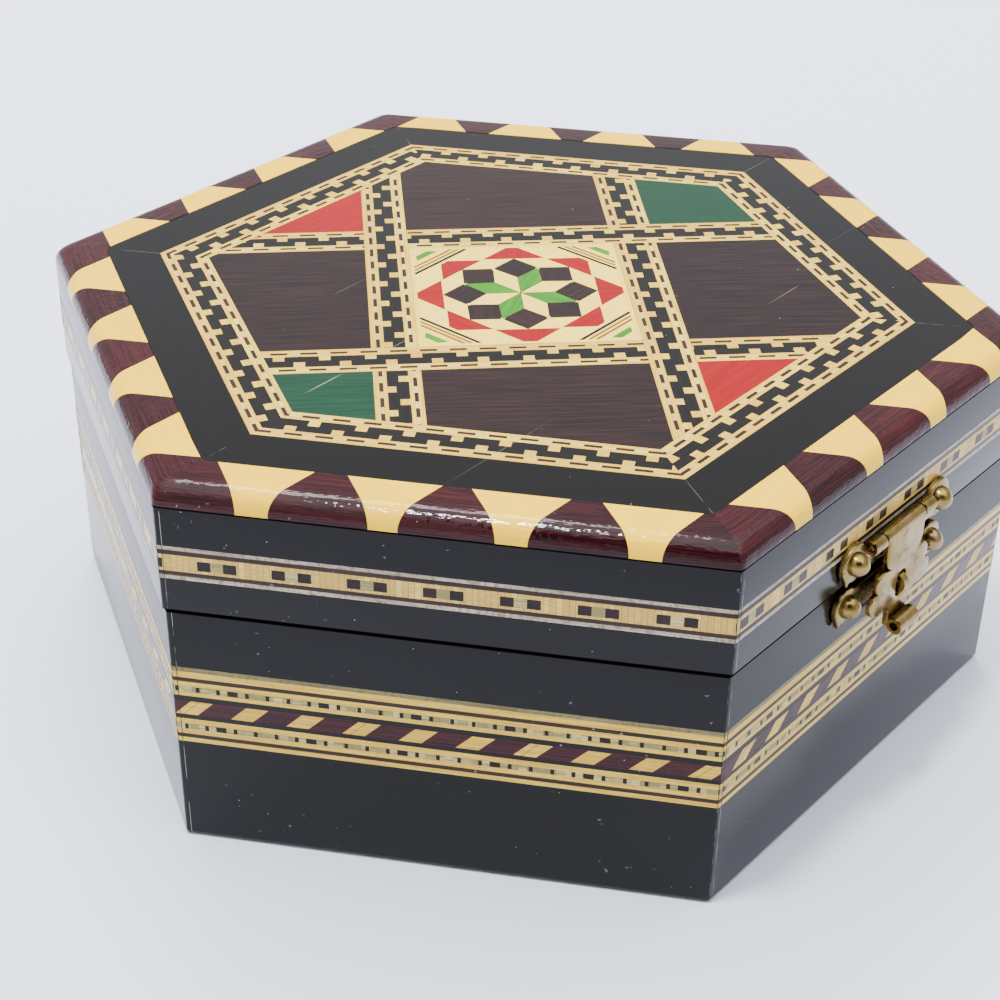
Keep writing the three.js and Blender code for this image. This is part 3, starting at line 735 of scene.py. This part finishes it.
def make_edging(side, turn):
    sheet = blank_sheet()
    tone_layer = sheet.verts.layers.float["tone"]
    chance = random.Random(turn + 400)
    profile = edging_profile()
    centres = [c + edging_shift[side] for c in light_centres]
    cuts = [(c + chance.uniform(-0.25, 0.25), sign) for c in centres for sign in (-1, 1)]
    cuts = [None] + cuts + [None]
    for number, (start, end) in enumerate(zip(cuts, cuts[1:])):
        tone = chance.random()
        steps = 3 if start and end else 12
        rows = []
        for j in range(steps + 1):
            share = j / steps
            if start is None:
                share = share ** 2
            if end is None:
                share = 1 - (1 - share) ** 2
            row = []
            for out, up, rounding in profile:
                left = block_end(out, *start) + glue_gap if start else -out * TAN30
                right = block_end(out, *end) - glue_gap if end else out * TAN30
                along = left + (right - left) * share
                vert = sheet.verts.new(on_side(turn, out, along, up, rounding))
                vert[tone_layer] = tone
                row.append((vert, (along / MM + tone * chart_shift, (out - up) / MM)))
            rows.append(row)
        skin(sheet, rows, [number % 2] * len(profile), number % 2, smooth=True)
    finish_piece(f"edging_blocks_{side}", sheet, [rosewood, lemonwood], "lid", "edging_wood",
                 f"lid_edging_{side}")


for side, turn in sides.items():
    make_edging(side, turn)
print("edging blocks:", len(sides) * (2 * len(light_centres) + 1))


# %% [markdown]
# The flat top. From the outside in: a black border in six mitred strips, a hexagon of banding, two pairs of
# crossing strips, and nine insets. The banding is the well-known meander: black ground, light teeth from
# both edges in turn, and a dashed line along each edge.

# %% Black border
border_outer = edging_inner - joint_gap
band_outer = border_outer - 8.06 * MM
band_breadth = 7.2
band_inner = band_outer - band_breadth * MM
top_base = lid_top - recess
veneer_thickness = 1.1 * MM
hairline = 0.1 * MM

for index, (side, turn) in enumerate(sides.items()):
    sheet = blank_sheet()
    inner, low = band_outer + joint_gap, top_base - veneer_thickness
    profile = [(inner, low, 0, 0), (border_outer, low, 0, 0), (border_outer, top_base, 0, 0),
               (inner, top_base, 0, 0)]
    stations = [(-1, 0, 0.8, 0), (-1, hairline, 0, 0), (1, hairline, 0, 0), (1, 0, 0.5, 0)]
    run_profile(sheet, turn, profile, stations, [0, 0, 0, 0], index * 0.21)
    finish_piece(f"border_strip_{side}", sheet, [ebony], "lid", "ebonised_wood", f"lid_border_{side}")
print("border strips:", len(sides))


# %% [markdown]
# On the real box one long block of banding was glued up and sawn into strips, so all ten strips of the lid
# share one list of rows. Only the place where the teeth begin differs, as it does where each was cut off.

# %% Meander banding rows
tooth, tooth_pitch = 1.7, 6.9
dash, dash_pitch, dash_start = 2.6, 4.52, -29.3


def meander_rows(outer_first, inner_first):
    """The outer edge of the banding is at y = band_breadth, and the inner edge is at y = 0."""
    return [
        line(black_rod, 0.0, band_breadth),
        line(maple, 0.0, 1.96, 1),
        line(maple, 5.2, band_breadth, 1),
        line(rod_maple, 0.72, 1.36, 2),
        line(rod_maple, 5.78, 6.42, 2),
        repeat(maple, 3.9, 5.22, 2, outer_first + tooth / 2, tooth_pitch, tooth),
        repeat(maple, 1.94, 3.45, 2, inner_first + tooth / 2, tooth_pitch, tooth),
        repeat(walnut_line, 5.8, 6.4, 3, dash_start, dash_pitch, dash),
        repeat(walnut_line, 0.74, 1.34, 3, dash_start + 1.3, dash_pitch, dash),
    ]


def carry(sheet, origin, along, across):
    """Charts the grain of a flat strip, and carries it to its place on the lid."""
    chart_grain(sheet)
    for vert in sheet.verts:
        x, y, z = vert.co
        vert.co = origin + along * x + across * y + Vector((0, 0, top_base + z))


tooth_start = {"front": (-25.1, -28.4), "front_left": (-26.5, -23.4), "back_left": (-22.2, -25.1),
               "front_right": (-24.0, -27.4), "back_right": (-25.6, -22.2), "back": (-23.2, -26.6)}
print("rows in the banding:", len(meander_rows(*tooth_start["front"])))


# %% [markdown]
# The hexagon inside the border is six lengths of this banding. Each is laid flat and sawn to the mitres of
# its side, so the pattern meets at the corners wherever the saw happened to come.

# %% Hexagon of banding
for side, turn in sides.items():
    sheet, woods = laid_strip(meander_rows(*tooth_start[side]), 36)
    for vert in sheet.verts:
        vert.co.y += band_inner
    for sign in (-1, 1):
        saw(sheet, (0, 0, 0), Vector((sign, -TAN30, 0)).normalized())
    carry(sheet, Vector((0, 0, 0)), polar(1, turn + 90), polar(1, turn))
    finish_piece(f"hexagon_banding_{side}", sheet, woods, "lid", "banding_wood", "lid_banding_lattice")
print("hexagon strips:", len(sides), "of", band_breadth, "mm")


# %% [markdown]
# The four crossing strips weave: each passes over one neighbour and is cut short at the other. A strip is
# laid flat, sawn where it goes under, sawn along the hexagon, and turned into place.

# %% Crossing strips
medallion = Vector((-2.3, -0.5, 0)) * MM
strip_offset = 20.8 * MM
half_strip = band_breadth / 2 * MM
near = strip_offset - half_strip - joint_gap
far = strip_offset + half_strip + joint_gap


def make_strip(name, heading, offset_sign, under_at, *tooth_phase):
    """heading is the strip's direction in degrees; under_at is the crossing that it is cut for."""
    along, across = polar(1, heading), polar(1, heading + 90)
    middle = medallion + across * (strip_offset * offset_sign)
    whole = blank_sheet()
    for limit, beyond in ((near, 1), (far, -1)) if under_at > 0 else ((-far, 1), (-near, -1)):
        sheet, woods = laid_strip(meander_rows(*tooth_phase), 62)
        for vert in sheet.verts:
            vert.co.y -= half_strip
        saw(sheet, (limit, 0, 0), (beyond, 0, 0))
        for turn in sides.values():
            face = polar(1, turn)
            flat = Vector((face.dot(along), face.dot(across), 0))
            saw(sheet, flat * (band_inner - joint_gap - middle.dot(face)), flat)
        carry(sheet, middle, along, across)
        part = as_mesh("part", sheet)
        whole.from_mesh(part)
        bpy.data.meshes.remove(part)
    finish_piece(name, whole, woods, "lid", "banding_wood", "lid_banding_lattice")


make_strip("crossing_strip_front_right", 45, -1, 1, -30.2, -27.0)
make_strip("crossing_strip_back_left", 45, 1, -1, -30.9, -27.8)
make_strip("crossing_strip_back_right", -45, 1, -1, -32.0, -29.0)
make_strip("crossing_strip_front_left", -45, -1, 1, -32.3, -29.2)
print("gap between two crossing strips:", round(2 * near / MM, 2), "mm")


# %% [markdown]
# The insets are plates cut to fill the openings between the strips. Each opening is the hexagon trimmed by
# the strips that pass it. The medallion is built up of small pieces: an eight-pointed star of kites, eight
# dark squares, red points, and fine lines across the corners.

# %% Insets
def trimmed(outline, direction, limit):
    kept = []
    for here, there in zip(outline, outline[1:] + outline[:1]):
        a, b = here.dot(direction) - limit, there.dot(direction) - limit
        if a <= 0:
            kept.append(here)
        if a * b < 0:
            kept.append(here.lerp(there, a / (a - b)))
    return kept


def opening(cell_a, cell_b):
    outline = [polar((band_inner - joint_gap) / math.cos(math.radians(30)), 60 * i) for i in range(6)]
    for heading, cell in ((45, cell_a), (135, cell_b)):
        direction = polar(1, heading)
        centre = medallion.dot(direction)
        if cell == 0:
            outline = trimmed(outline, direction, centre + near)
            outline = trimmed(outline, -direction, near - centre)
        else:
            outline = trimmed(outline, direction * -cell, -centre * cell - far)
    return outline


def add_tile(sheet, outline, base, thickness, material_index, tone, heading):
    """A flat prism over a convex outline, with its grain along heading."""
    tone_layer, chart = sheet.verts.layers.float["tone"], sheet.loops.layers.uv["grain"]
    low = [sheet.verts.new((p.x, p.y, base - thickness)) for p in outline]
    high = [sheet.verts.new((p.x, p.y, base)) for p in outline]
    for vert in low + high:
        vert[tone_layer] = tone
    faces = [sheet.faces.new(high), sheet.faces.new(list(reversed(low)))]
    for i in range(len(outline)):
        k = (i + 1) % len(outline)
        faces.append(sheet.faces.new([low[i], low[k], high[k], high[i]]))
    angle = math.radians(heading)
    for face in faces:
        face.material_index = material_index
        for corner in face.loops:
            x, y = corner.vert.co.x / MM, corner.vert.co.y / MM
            u, v = x * math.cos(angle) + y * math.sin(angle), y * math.cos(angle) - x * math.sin(angle)
            corner[chart].uv = (u + tone * chart_shift, v + tone * 41)
    bmesh.ops.recalc_face_normals(sheet, faces=faces)


insets = {
    "panel_back_right": (1, 0, wine, "wine_veneer", -45, 0.2),
    "panel_back_left": (0, 1, wine, "wine_veneer", -45, 0.7),
    "panel_front_left": (-1, 0, wine, "wine_veneer", -45, 0.4),
    "panel_front_right": (0, -1, wine, "wine_veneer", -45, 0.9),
    "triangle_back": (1, 1, red_dyed, "red_veneer", 0, 0.3),
    "triangle_front": (-1, -1, red_dyed, "red_veneer", 0, 0.6),
    "kite_right": (1, -1, green_dyed, "green_veneer", -45, 0.5),
    "kite_left": (-1, 1, green_dyed, "green_veneer", -45, 0.1),
}
for name, (cell_a, cell_b, wood, slot, heading, tone) in insets.items():
    sheet = blank_sheet()
    add_tile(sheet, opening(cell_a, cell_b), top_base, veneer_thickness, 0, tone, heading)
    finish_piece(f"inset_{name}", sheet, [wood], "lid", slot, f"lid_{name}")
print("insets round the medallion:", len(insets))


# %% [markdown]
# The medallion is the fussiest part of the real lid, and its pieces come ready cut in sets. Each quarter of
# it has the same lines, points and corners, and each eighth the same kite, square and lozenge, so one
# quarter and one eighth are drawn and spun round the middle.

# %% Medallion
piece_gap = 0.045
medallion_half = near / MM


def spun(points, degrees):
    turned = Matrix.Rotation(math.radians(degrees), 4, "Z")
    return [turned @ Vector((point[0], point[1], 0)) for point in points]


def medallion_pieces():
    """Each piece: outline in millimetres from the medallion's middle, wood, layer, grain heading."""
    half, inner = medallion_half, medallion_half - 0.65
    corner = half * math.sqrt(2)
    quarter = [
        ([(17.3, 17.3 - corner), (corner, 0), (17.3, corner - 17.3)], 0, straw, 1, 90),
        ([(16.85, -6.3), (17.4, -6.3), (17.4, 6.3), (16.85, 6.3)], 0, black_rod, 2, 90),
        ([(17.8, -5.4), (18.2, -5.4), (18.2, 5.4), (17.8, 5.4)], 0, amber, 2, 90),
        ([(18.6, -4.7), (19.05, -4.7), (19.05, 4.7), (18.6, 4.7)], 0, amber, 2, 90),
        ([(20.1, -2.4), (21.4, -1.4), (21.4, 1.4), (20.1, 2.4)], 0, leaf_green, 2, 90),
        ([(12.35, -4.8), (16.3, -0.9), (16.3, 0.9), (12.35, 4.8)], 0, red_dyed, 2, 90),
        ([(12.4, 5.15), (12.4, 11.2), (11.2, 12.4), (5.15, 12.4)], 0, red_dyed, 2, 45),
        ([(inner, -half), (half, -half), (half, inner), (inner, inner)], 45, straw, 3, 90),
    ]
    kite = [polar(0.05, 22.5), polar(5.5, 0), polar(9.6, 22.5), polar(5.5, 45)]
    square = [(5.5, 0), (8.98, -3.55), (12.45, 0), (8.98, 3.55)]
    lozenge = [polar(9.7, 22.5), polar(12.45, 0), polar(13.3, 22.5), polar(12.45, 45)]
    pieces = [([polar(corner, 90 * i) for i in range(4)], cream, 0, 0)]
    for turn in range(0, 360, 90):
        for outline, extra, wood, layer, heading in quarter:
            pieces.append((spun(outline, turn + extra), wood, layer, turn + extra + heading))
    pieces.append(([polar(9.3, 45 * i + 22.5) for i in range(8)], walnut_line, 1, 0))
    for turn in range(0, 360, 45):
        kite_wood = cream if turn % 90 else leaf_green
        pieces.append((spun(kite, turn), kite_wood, 2, turn + 22.5))
        pieces.append((spun(square, turn), brown_dyed, 3, turn + 45))
        pieces.append((spun(lozenge, turn), cream, 2, turn + 22.5))
    return pieces


def shrunk(outline, gap):
    middle = sum(outline, Vector((0, 0, 0))) / len(outline)
    return [p + (middle - p).normalized() * min(gap, (middle - p).length) for p in outline]


sheet = blank_sheet()
pieces = medallion_pieces()
woods = list(dict.fromkeys(wood for _, wood, _, _ in pieces))
chance = random.Random(11)
for outline, wood, layer, heading in pieces:
    if layer > 0:
        outline = shrunk(outline, piece_gap)
    flat = [medallion + p * MM for p in outline]
    thickness = veneer_thickness if layer == 0 else 0.2 * MM
    height = top_base + (layer + 1) * level
    add_tile(sheet, flat, height, thickness, woods.index(wood), chance.random(), heading)
finish_piece("medallion_star", sheet, woods, "lid", "medallion_wood", "lid_medallion")
print("medallion pieces:", len(pieces))


# %% [markdown]
# The floor of the box and the underside of the lid. The floor is a board with flocked paper on top, and the
# lid's board keeps its solid and only gets a finish.

# %% Floor and lid board
def refinish(node, material):
    """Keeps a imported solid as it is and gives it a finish."""
    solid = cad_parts[node]
    solid.data.materials.clear()
    solid.data.materials.append(material)


sheet = blank_sheet()
floor_radius = (body_face - wall - 0.05 * MM) / math.cos(math.radians(30))
add_tile(sheet, [polar(floor_radius, 60 * i) for i in range(6)], floor_top, floor_top, 0, 0.5, 0)
for face in sheet.faces:
    face.material_index = 1 if face.normal.z < -0.5 else 0
finish_piece("lined_floor", sheet, [lining, board], "body", "carcass_wood", "body_floor")
refinish("lid_top_board", lining)
print("floor lined to a radius of", round(floor_radius / MM, 1), "mm")


# %% [markdown]
# The hasp is stamped out of sheet brass. An outline, and a hole where there is one, is drawn with a few
# points and stepped inwards in rings, which round the front edge over, and the front and back are filled.

# %% Sheet brass from outlines
def middle_of(node):
    low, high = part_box(node)
    return (low + high) / 2


hasp_x = middle_of("hasp_plate").x
sheet_thickness = 0.9 * MM


def circle_points(x, z, radius, start=0, end=360, steps=24):
    last = steps if end - start < 360 else steps - 1
    spots = [polar(radius, start + (end - start) * i / steps) for i in range(last + 1)]
    return [(x + spot.x, z + spot.y) for spot in spots]


def join_rings(sheet, pairs):
    for left, right in pairs:
        for i in range(len(left)):
            k = (i + 1) % len(left)
            sheet.faces.new([left[i], left[k], right[k], right[i]]).smooth = True


def moved_in(outline, amount):
    """The outline moved towards the metal, which lies to its left, by amount."""
    moved = []
    for i, point in enumerate(outline):
        here = Vector(point)
        first = (here - Vector(outline[i - 1])).normalized()
        second = (Vector(outline[(i + 1) % len(outline)]) - here).normalized()
        inward = Vector((-first.y - second.y, first.x + second.x)).normalized()
        moved.append(here + inward * amount / max(0.6, inward.dot(Vector((-first.y, first.x)))))
    return moved


def sheet_brass(outlines, back, soften=0.24):
    """A plate that faces the front: outlines in millimetres (x from the hasp's middle, z from the table)."""
    made = bmesh.new()
    thickness = sheet_thickness / MM
    steps = [(0, 0), (0, thickness - soften)]
    for angle in (30, 60, 90):
        swing = math.radians(angle)
        steps.append((soften * (1 - math.cos(swing)), thickness - soften * (1 - math.sin(swing))))
    ends = [[], []]
    for number, outline in enumerate(outlines):
        area = sum(a[0] * b[1] - b[0] * a[1] for a, b in zip(outline, outline[1:] + outline[:1]))
        outline = outline if (area > 0) == (number == 0) else outline[::-1]
        rings = []
        for inset, depth in steps:
            ring = moved_in(outline, inset)
            rings.append([made.verts.new((hasp_x + p.x * MM, -back - depth * MM, p.y * MM)) for p in ring])
        join_rings(made, zip(rings, rings[1:]))
        for end, ring in zip(ends, (rings[0], rings[-1])):
            end += [made.edges.get((ring[i], ring[(i + 1) % len(ring)])) for i in range(len(ring))]
    for end in ends:
        bmesh.ops.triangle_fill(made, edges=end, use_beauty=True)
    return as_mesh("part", made)


def rod(sheet, left, right, y, z, radius, bore=0.0, steps=32):
    """A rolled piece along X, softened at both ends. left and right are millimetres from the middle."""
    soften = min(0.15 * MM, radius / 3)
    x_from, x_to = hasp_x + left * MM, hasp_x + right * MM
    stations = [(x_from, radius - soften), (x_from + soften, radius), (x_to - soften, radius),
                (x_to, radius - soften)]
    if bore:
        stations = [(x_from, bore)] + stations + [(x_to, bore)]
    rings = []
    for x, size in stations:
        spots = [polar(size, 360 * i / steps) for i in range(steps)]
        rings.append([sheet.verts.new((x, y + spot.x, z + spot.y)) for spot in spots])
    if bore:
        rings.append(rings[0])
    join_rings(sheet, zip(rings, rings[1:]))
    if not bore:
        sheet.faces.new(rings[0])
        sheet.faces.new(rings[-1])


def brass_piece(name, meshes, rods, body, *nodes):
    sheet = bmesh.new()
    for mesh in meshes:
        sheet.from_mesh(mesh)
        bpy.data.meshes.remove(mesh)
    bmesh.ops.remove_doubles(sheet, verts=sheet.verts, dist=1e-7)
    for values in rods:
        rod(sheet, *values)
    finish_piece(name, sheet, [brass], body, "aged_brass", *nodes)


# %% [markdown]
# The plate on the lid and the catch plate on the body are stampings of one family: a round lobe about each
# nail and a small cusp below it. Half an outline is drawn and mirrored. The plate on the lid ends above in
# two rolled barrels, and the catch plate carries the staple, a bent bar that comes through the leaf's slot.

# %% Hasp plate and catch plate
hasp_nail_z = middle_of("hasp_nail_left").z / MM
catch_nail_z = middle_of("catch_nail_left").z / MM
_, pin_y, pin_z = middle_of("hasp_pin")
axis_z = pin_z / MM
nail_x = 11.75
barrel_end, notch = 8.5, 5.5
staple_drop = 4
barrel_radius, barrel_bore = 1.22 * MM, 0.55 * MM


def lobe(nail_z, radius, bar_low, bar_high):
    """The right end of a plate: round about the nail, with a small pointed cusp at its lower outer corner."""
    start = 180 - math.degrees(math.asin((bar_high - nail_z) / radius))
    points = circle_points(nail_x, nail_z, radius, start, -35, 22)
    points += [(nail_x + 2.2, nail_z - radius + 0.75), (nail_x + 2.0, nail_z - radius + 0.2),
               (nail_x + 1.75, nail_z - radius - 0.3), (nail_x + 1.45, nail_z - radius + 0.15)]
    points += circle_points(nail_x, nail_z, radius, -66, -112, 5)
    end_x, end_z = points[-1]
    points += [(end_x - 0.7, end_z + 0.15), (end_x - 1.6, bar_low + 0.05), (end_x - 2.4, bar_low)]
    return points


def lobed_outline(nail_z, radius, bar_low, bar_high, top_points):
    right = lobe(nail_z, radius, bar_low, bar_high)
    return right + [(-x, z) for x, z in reversed(right)] + top_points


def staple_mesh():
    """The upright loop that comes through the leaf's slot: a flat bar bent to a half ring, on edge."""
    middle_z = body_top - staple_drop * MM
    outer, hole = 1.6 * MM, 0.6 * MM
    centre = -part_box("catch_plate")[0].y - outer
    root = body_face + 0.6 * MM
    thickness = 0.6 * MM
    made = bmesh.new()
    steps = 20
    outside = [(root, middle_z - outer)]
    for i in range(steps + 1):
        swing = math.pi * i / steps
        outside.append((centre + outer * math.sin(swing), middle_z - outer * math.cos(swing)))
    outside.append((root, middle_z + outer))
    inside = []
    for i in range(steps):
        swing = 2 * math.pi * i / steps
        inside.append((centre + hole * math.sin(swing), middle_z + hole * math.cos(swing)))
    edges = []
    for side_x in (-thickness, thickness):
        for outline in (outside, inside):
            ring = [made.verts.new((hasp_x + side_x, -out, z)) for out, z in outline]
            edges.append([made.edges.new((ring[i], ring[(i + 1) % len(ring)])) for i in range(len(ring))])
    for pair in (edges[:2], edges[2:]):
        bmesh.ops.triangle_fill(made, edges=pair[0] + pair[1], use_beauty=True)
    for first, second in ((edges[0], edges[2]), (edges[1], edges[3])):
        bmesh.ops.bridge_loops(made, edges=first + second)
    return as_mesh("part", made)


notch_low = axis_z - 1.55
hasp_top = [(-barrel_end, axis_z), (-notch, axis_z), (-notch, notch_low), (notch, notch_low),
            (notch, axis_z), (barrel_end, axis_z)]
hasp_outline = lobed_outline(hasp_nail_z, 3.1, hasp_nail_z - 2.7, axis_z, hasp_top)
catch_outline = lobed_outline(catch_nail_z, 2.9, catch_nail_z - 2.2, catch_nail_z + 2.2, [])
barrels = [(-barrel_end, -notch, pin_y, pin_z, barrel_radius, barrel_bore),
           (notch, barrel_end, pin_y, pin_z, barrel_radius, barrel_bore)]
plate = sheet_brass([hasp_outline], lid_face + 0.2 * MM)
brass_piece("stamped_hasp_plate", [plate], barrels, "lid", "hasp_plate")
catch = sheet_brass([catch_outline], body_face + 0.2 * MM)
brass_piece("stamped_catch_plate", [catch, staple_mesh()], [], "body", "catch_plate")
print("plates: nails", 2 * nail_x, "mm apart, pin at", round(axis_z, 2), "mm")


# %% [markdown]
# The leaf hangs from the pin. Its outline has a neck, a waist and two scallops on each side, a slot for the
# staple, and a tab whose end is rolled outwards for the finger.

# %% Hasp leaf
def leaf_outline():
    right = [(5.15, axis_z + 0.1), (5.1, axis_z - 2.4)]
    for i in range(1, 9):
        angle = math.radians(90 * i / 8)
        right.append((3.45 + 1.65 * math.cos(angle), axis_z - 2.4 - 3.3 * math.sin(angle)))
    right += circle_points(5.4, axis_z - 7.2, 1.9, 118, -48, 12)
    right += circle_points(6.2, axis_z - 10.4, 2.2, 46, -88, 12)
    right += [(4.4, axis_z - 12.35), (3.3, axis_z - 12.9), (2.65, axis_z - 13.9), (2.6, axis_z - 16.3)]
    return right + [(-x, z) for x, z in reversed(right)]


slot_middle = body_top / MM - staple_drop
slot = circle_points(0, slot_middle + 1.0, 1.3, 0, 180, 12)
slot += circle_points(0, slot_middle - 1.0, 1.3, 180, 360, 12)
leaf_back = -pin_y + 0.35 * MM
leaf = sheet_brass([leaf_outline(), slot], leaf_back)
leaf_rods = [(-5.2, 5.2, pin_y, pin_z, barrel_radius, barrel_bore),
             (-2.6, 2.6, -leaf_back - 2.0 * MM, pin_z - 15.9 * MM, 1.4 * MM, 0.7 * MM)]
brass_piece("stamped_hasp_leaf", [leaf], leaf_rods, "hasp", "hasp_leaf")
brass_piece("hasp_pin_rod", [], [(-barrel_end, barrel_end, pin_y, pin_z, 0.5 * MM)], "lid", "hasp_pin")
print("points in the leaf's outline:", len(leaf_outline()))


# %% [markdown]
# Every nail has the same domed head, so the heads are one Geometry Nodes tree: a flattened ball on each
# given point, its back half in the sheet, with shallow dents from the hammer.

# %% Domed nail heads
def nail_tree():
    tree, given = start_tree("domed_nails", {"Geometry": "Geometry", "Radius": "Float", "Height": "Float",
                                             "Metal": "Material"})
    ball = add_node(tree, "GeometryNodeMeshUVSphere", {"Segments": 32, "Rings": 16, "Radius": 1.0})
    size = vector_of(tree, X=given["Radius"], Y=given["Height"], Z=given["Radius"])
    dome = add_node(tree, "GeometryNodeTransform", links={
        "Geometry": ball.outputs["Mesh"], "Scale": size})
    heads = real_copies(tree, given["Geometry"], dome.outputs["Geometry"])
    dents = add_node(tree, "ShaderNodeTexNoise", {"Scale": 900.0, "Detail": 1.0})
    shallow = maths(tree, "MULTIPLY", dents.outputs["Fac"], -0.12 * MM)
    normal = add_node(tree, "GeometryNodeInputNormal")
    inward = add_node(tree, "ShaderNodeVectorMath", operation="SCALE", links={
        "Vector": normal.outputs[0], "Scale": shallow})
    dented = add_node(tree, "GeometryNodeSetPosition", links={
        "Geometry": heads, "Offset": inward.outputs[0]})
    smooth = add_node(tree, "GeometryNodeSetShadeSmooth", links={"Geometry": dented.outputs["Geometry"]})
    end_tree(tree, smooth.outputs["Geometry"], given["Metal"])
    return tree


nail_heads = nail_tree()
nail_depth = 1.1 * MM


def make_nails(name, points, radius, height, body, *nodes):
    made = grown_mesh(nail_heads, {"Radius": radius, "Height": height, "Metal": brass}, points)
    made.name = name
    hand_over(name, made, body, nodes)


for side, x in (("left", hasp_x - nail_x * MM), ("right", hasp_x + nail_x * MM)):
    make_nails(f"domed_hasp_nail_{side}", [(x, -lid_face - nail_depth, hasp_nail_z * MM)],
               1.93 * MM, 2.2 * MM, "lid", f"hasp_nail_{side}")
    make_nails(f"domed_catch_nail_{side}", [(x, -body_face - nail_depth, catch_nail_z * MM)],
               1.93 * MM, 2.2 * MM, "body", f"catch_nail_{side}")
print("big nails: 4, at x", round(hasp_x / MM - nail_x, 2), "and", round(hasp_x / MM + nail_x, 2), "mm")


# %% [markdown]
# The two hinges keep their solids. They get the brass finish and two small nails in each leaf.

# %% Hinges
for side in ("left", "right"):
    for part in ("body_leaf", "lid_leaf", "pin"):
        refinish(f"hinge_{side}_{part}", brass)
    for body, face, edge, step in (("body", body_face, 0, 1), ("lid", lid_face, 1, -1)):
        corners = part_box(f"hinge_{side}_{body}_leaf")
        z = corners[edge].z + step * 2.4 * MM
        middle = (corners[0].x + corners[1].x) / 2
        spots = [(middle + offset * MM, face + nail_depth, z) for offset in (-4.2, 4.2)]
        make_nails(f"hinge_nails_{side}_{body}", spots, 0.95 * MM, 0.45 * MM, body)
print("hinges finished, small nails: 8")


# %% [markdown]
# The picture was taken on white paper in soft light from all round. A pale floor and a bright even world
# give the same: the varnish mirrors the paper in the sides that are seen at a glancing angle. A lamp for
# the window stands high behind the box, and a small one for the ceiling hangs over its left side. A dark
# card stands behind the camera, as the photographer does, and gives the brass its dark half.

# %% Floor, light and camera
def flat_card(name, corners, material):
    mesh = bpy.data.meshes.new(name)
    mesh.from_pydata(corners, [], [(0, 1, 2, 3)])
    mesh.materials.append(material)
    return add_object(name, mesh)


reach = 6.0
paper, tree, shader, place = start_material("white_paper_sweep", Roughness=0.8)
# Painted light: the paper is painted darker near the camera and lighter towards the back, the way the light
# falls on it.
away = add_node(tree, "ShaderNodeVectorMath", {1: (0.77, 0.64, 0)}, {0: place}, operation="DOT_PRODUCT")
painted_floor_light = mask(tree, away.outputs["Value"], -0.16, 0.34)
end_material(tree, shader, over(tree, painted_floor_light, linear("#D8DCEA"), linear("#E6EAF9")))
corners = [(-reach, -reach, 0), (reach, -reach, 0), (reach, reach, 0), (-reach, reach, 0)]
floor = flat_card("paper_floor", corners, paper)

card_paper, tree, shader, place = start_material("dark_card_matt", Roughness=0.9)
shader.inputs["Base Color"].default_value = linear("#16171A")
corners = [(-0.26, 0, -0.2), (0.26, 0, -0.2), (0.26, 0, 0.3), (-0.26, 0, 0.3)]
card = flat_card("dark_card", corners, card_paper)
card.location = (-0.36, -0.42, 0.42)
card.rotation_euler = (math.radians(-25), 0, math.radians(-50))

world = bpy.data.worlds.new("soft_room")
world.use_nodes = True
sky = world.node_tree
sky_way = add_node(sky, "ShaderNodeTexCoord").outputs["Generated"]
sky_height = add_node(sky, "ShaderNodeSeparateXYZ", links={"Vector": sky_way}).outputs["Z"]
sky_light = add_node(sky, "ShaderNodeMapRange", {"From Min": 0.6, "From Max": 0.95, "To Min": 1.2,
                                                 "To Max": 5.4}, {"Value": sky_height})
sky.nodes["Background"].inputs["Color"].default_value = linear("#F2F3F8")
sky.links.new(sky_light.outputs["Result"], sky.nodes["Background"].inputs["Strength"])
bpy.context.scene.world = world


def soft_lamp(name, place, target, size, power):
    lamp = bpy.data.lights.new(name, "AREA")
    lamp.shape = "SQUARE"
    lamp.size = size
    lamp.energy = power
    holder = add_object(name, lamp)
    holder.location = place
    aim = Vector(target) - Vector(place)
    holder.rotation_euler = aim.to_track_quat("-Z", "Y").to_euler()


soft_lamp("window_lamp", (0.45, 0.6, 1.3), (0.25, 0.3, 0), 0.45, 15.0)
soft_lamp("ceiling_lamp", (-0.25, 0.05, 1.2), (0, 0, 0.03), 0.12, 14.0)


def looking(place, target, roll):
    forward = (target - place).normalized()
    right = forward.cross(Vector((0, 0, 1))).normalized()
    up = right.cross(forward)
    turned_right = math.cos(roll) * right + math.sin(roll) * up
    turned_up = -math.sin(roll) * right + math.cos(roll) * up
    matrix = Matrix((turned_right, turned_up, -forward)).transposed().to_4x4()
    matrix.translation = place
    return matrix


camera_data = bpy.data.cameras.new("camera")
camera_data.lens = 72.37
camera_data.sensor_width = 36
camera_data.clip_start = 0.01
camera = add_object("camera", camera_data)
camera.matrix_world = looking(Vector((-0.2260, -0.1824, 0.2082)), Vector((0.0238, 0.0248, 0)), 0.015)
bpy.context.scene.camera = camera
print("lamps:", len(bpy.data.lights), "lens:", round(camera_data.lens, 2), "mm")
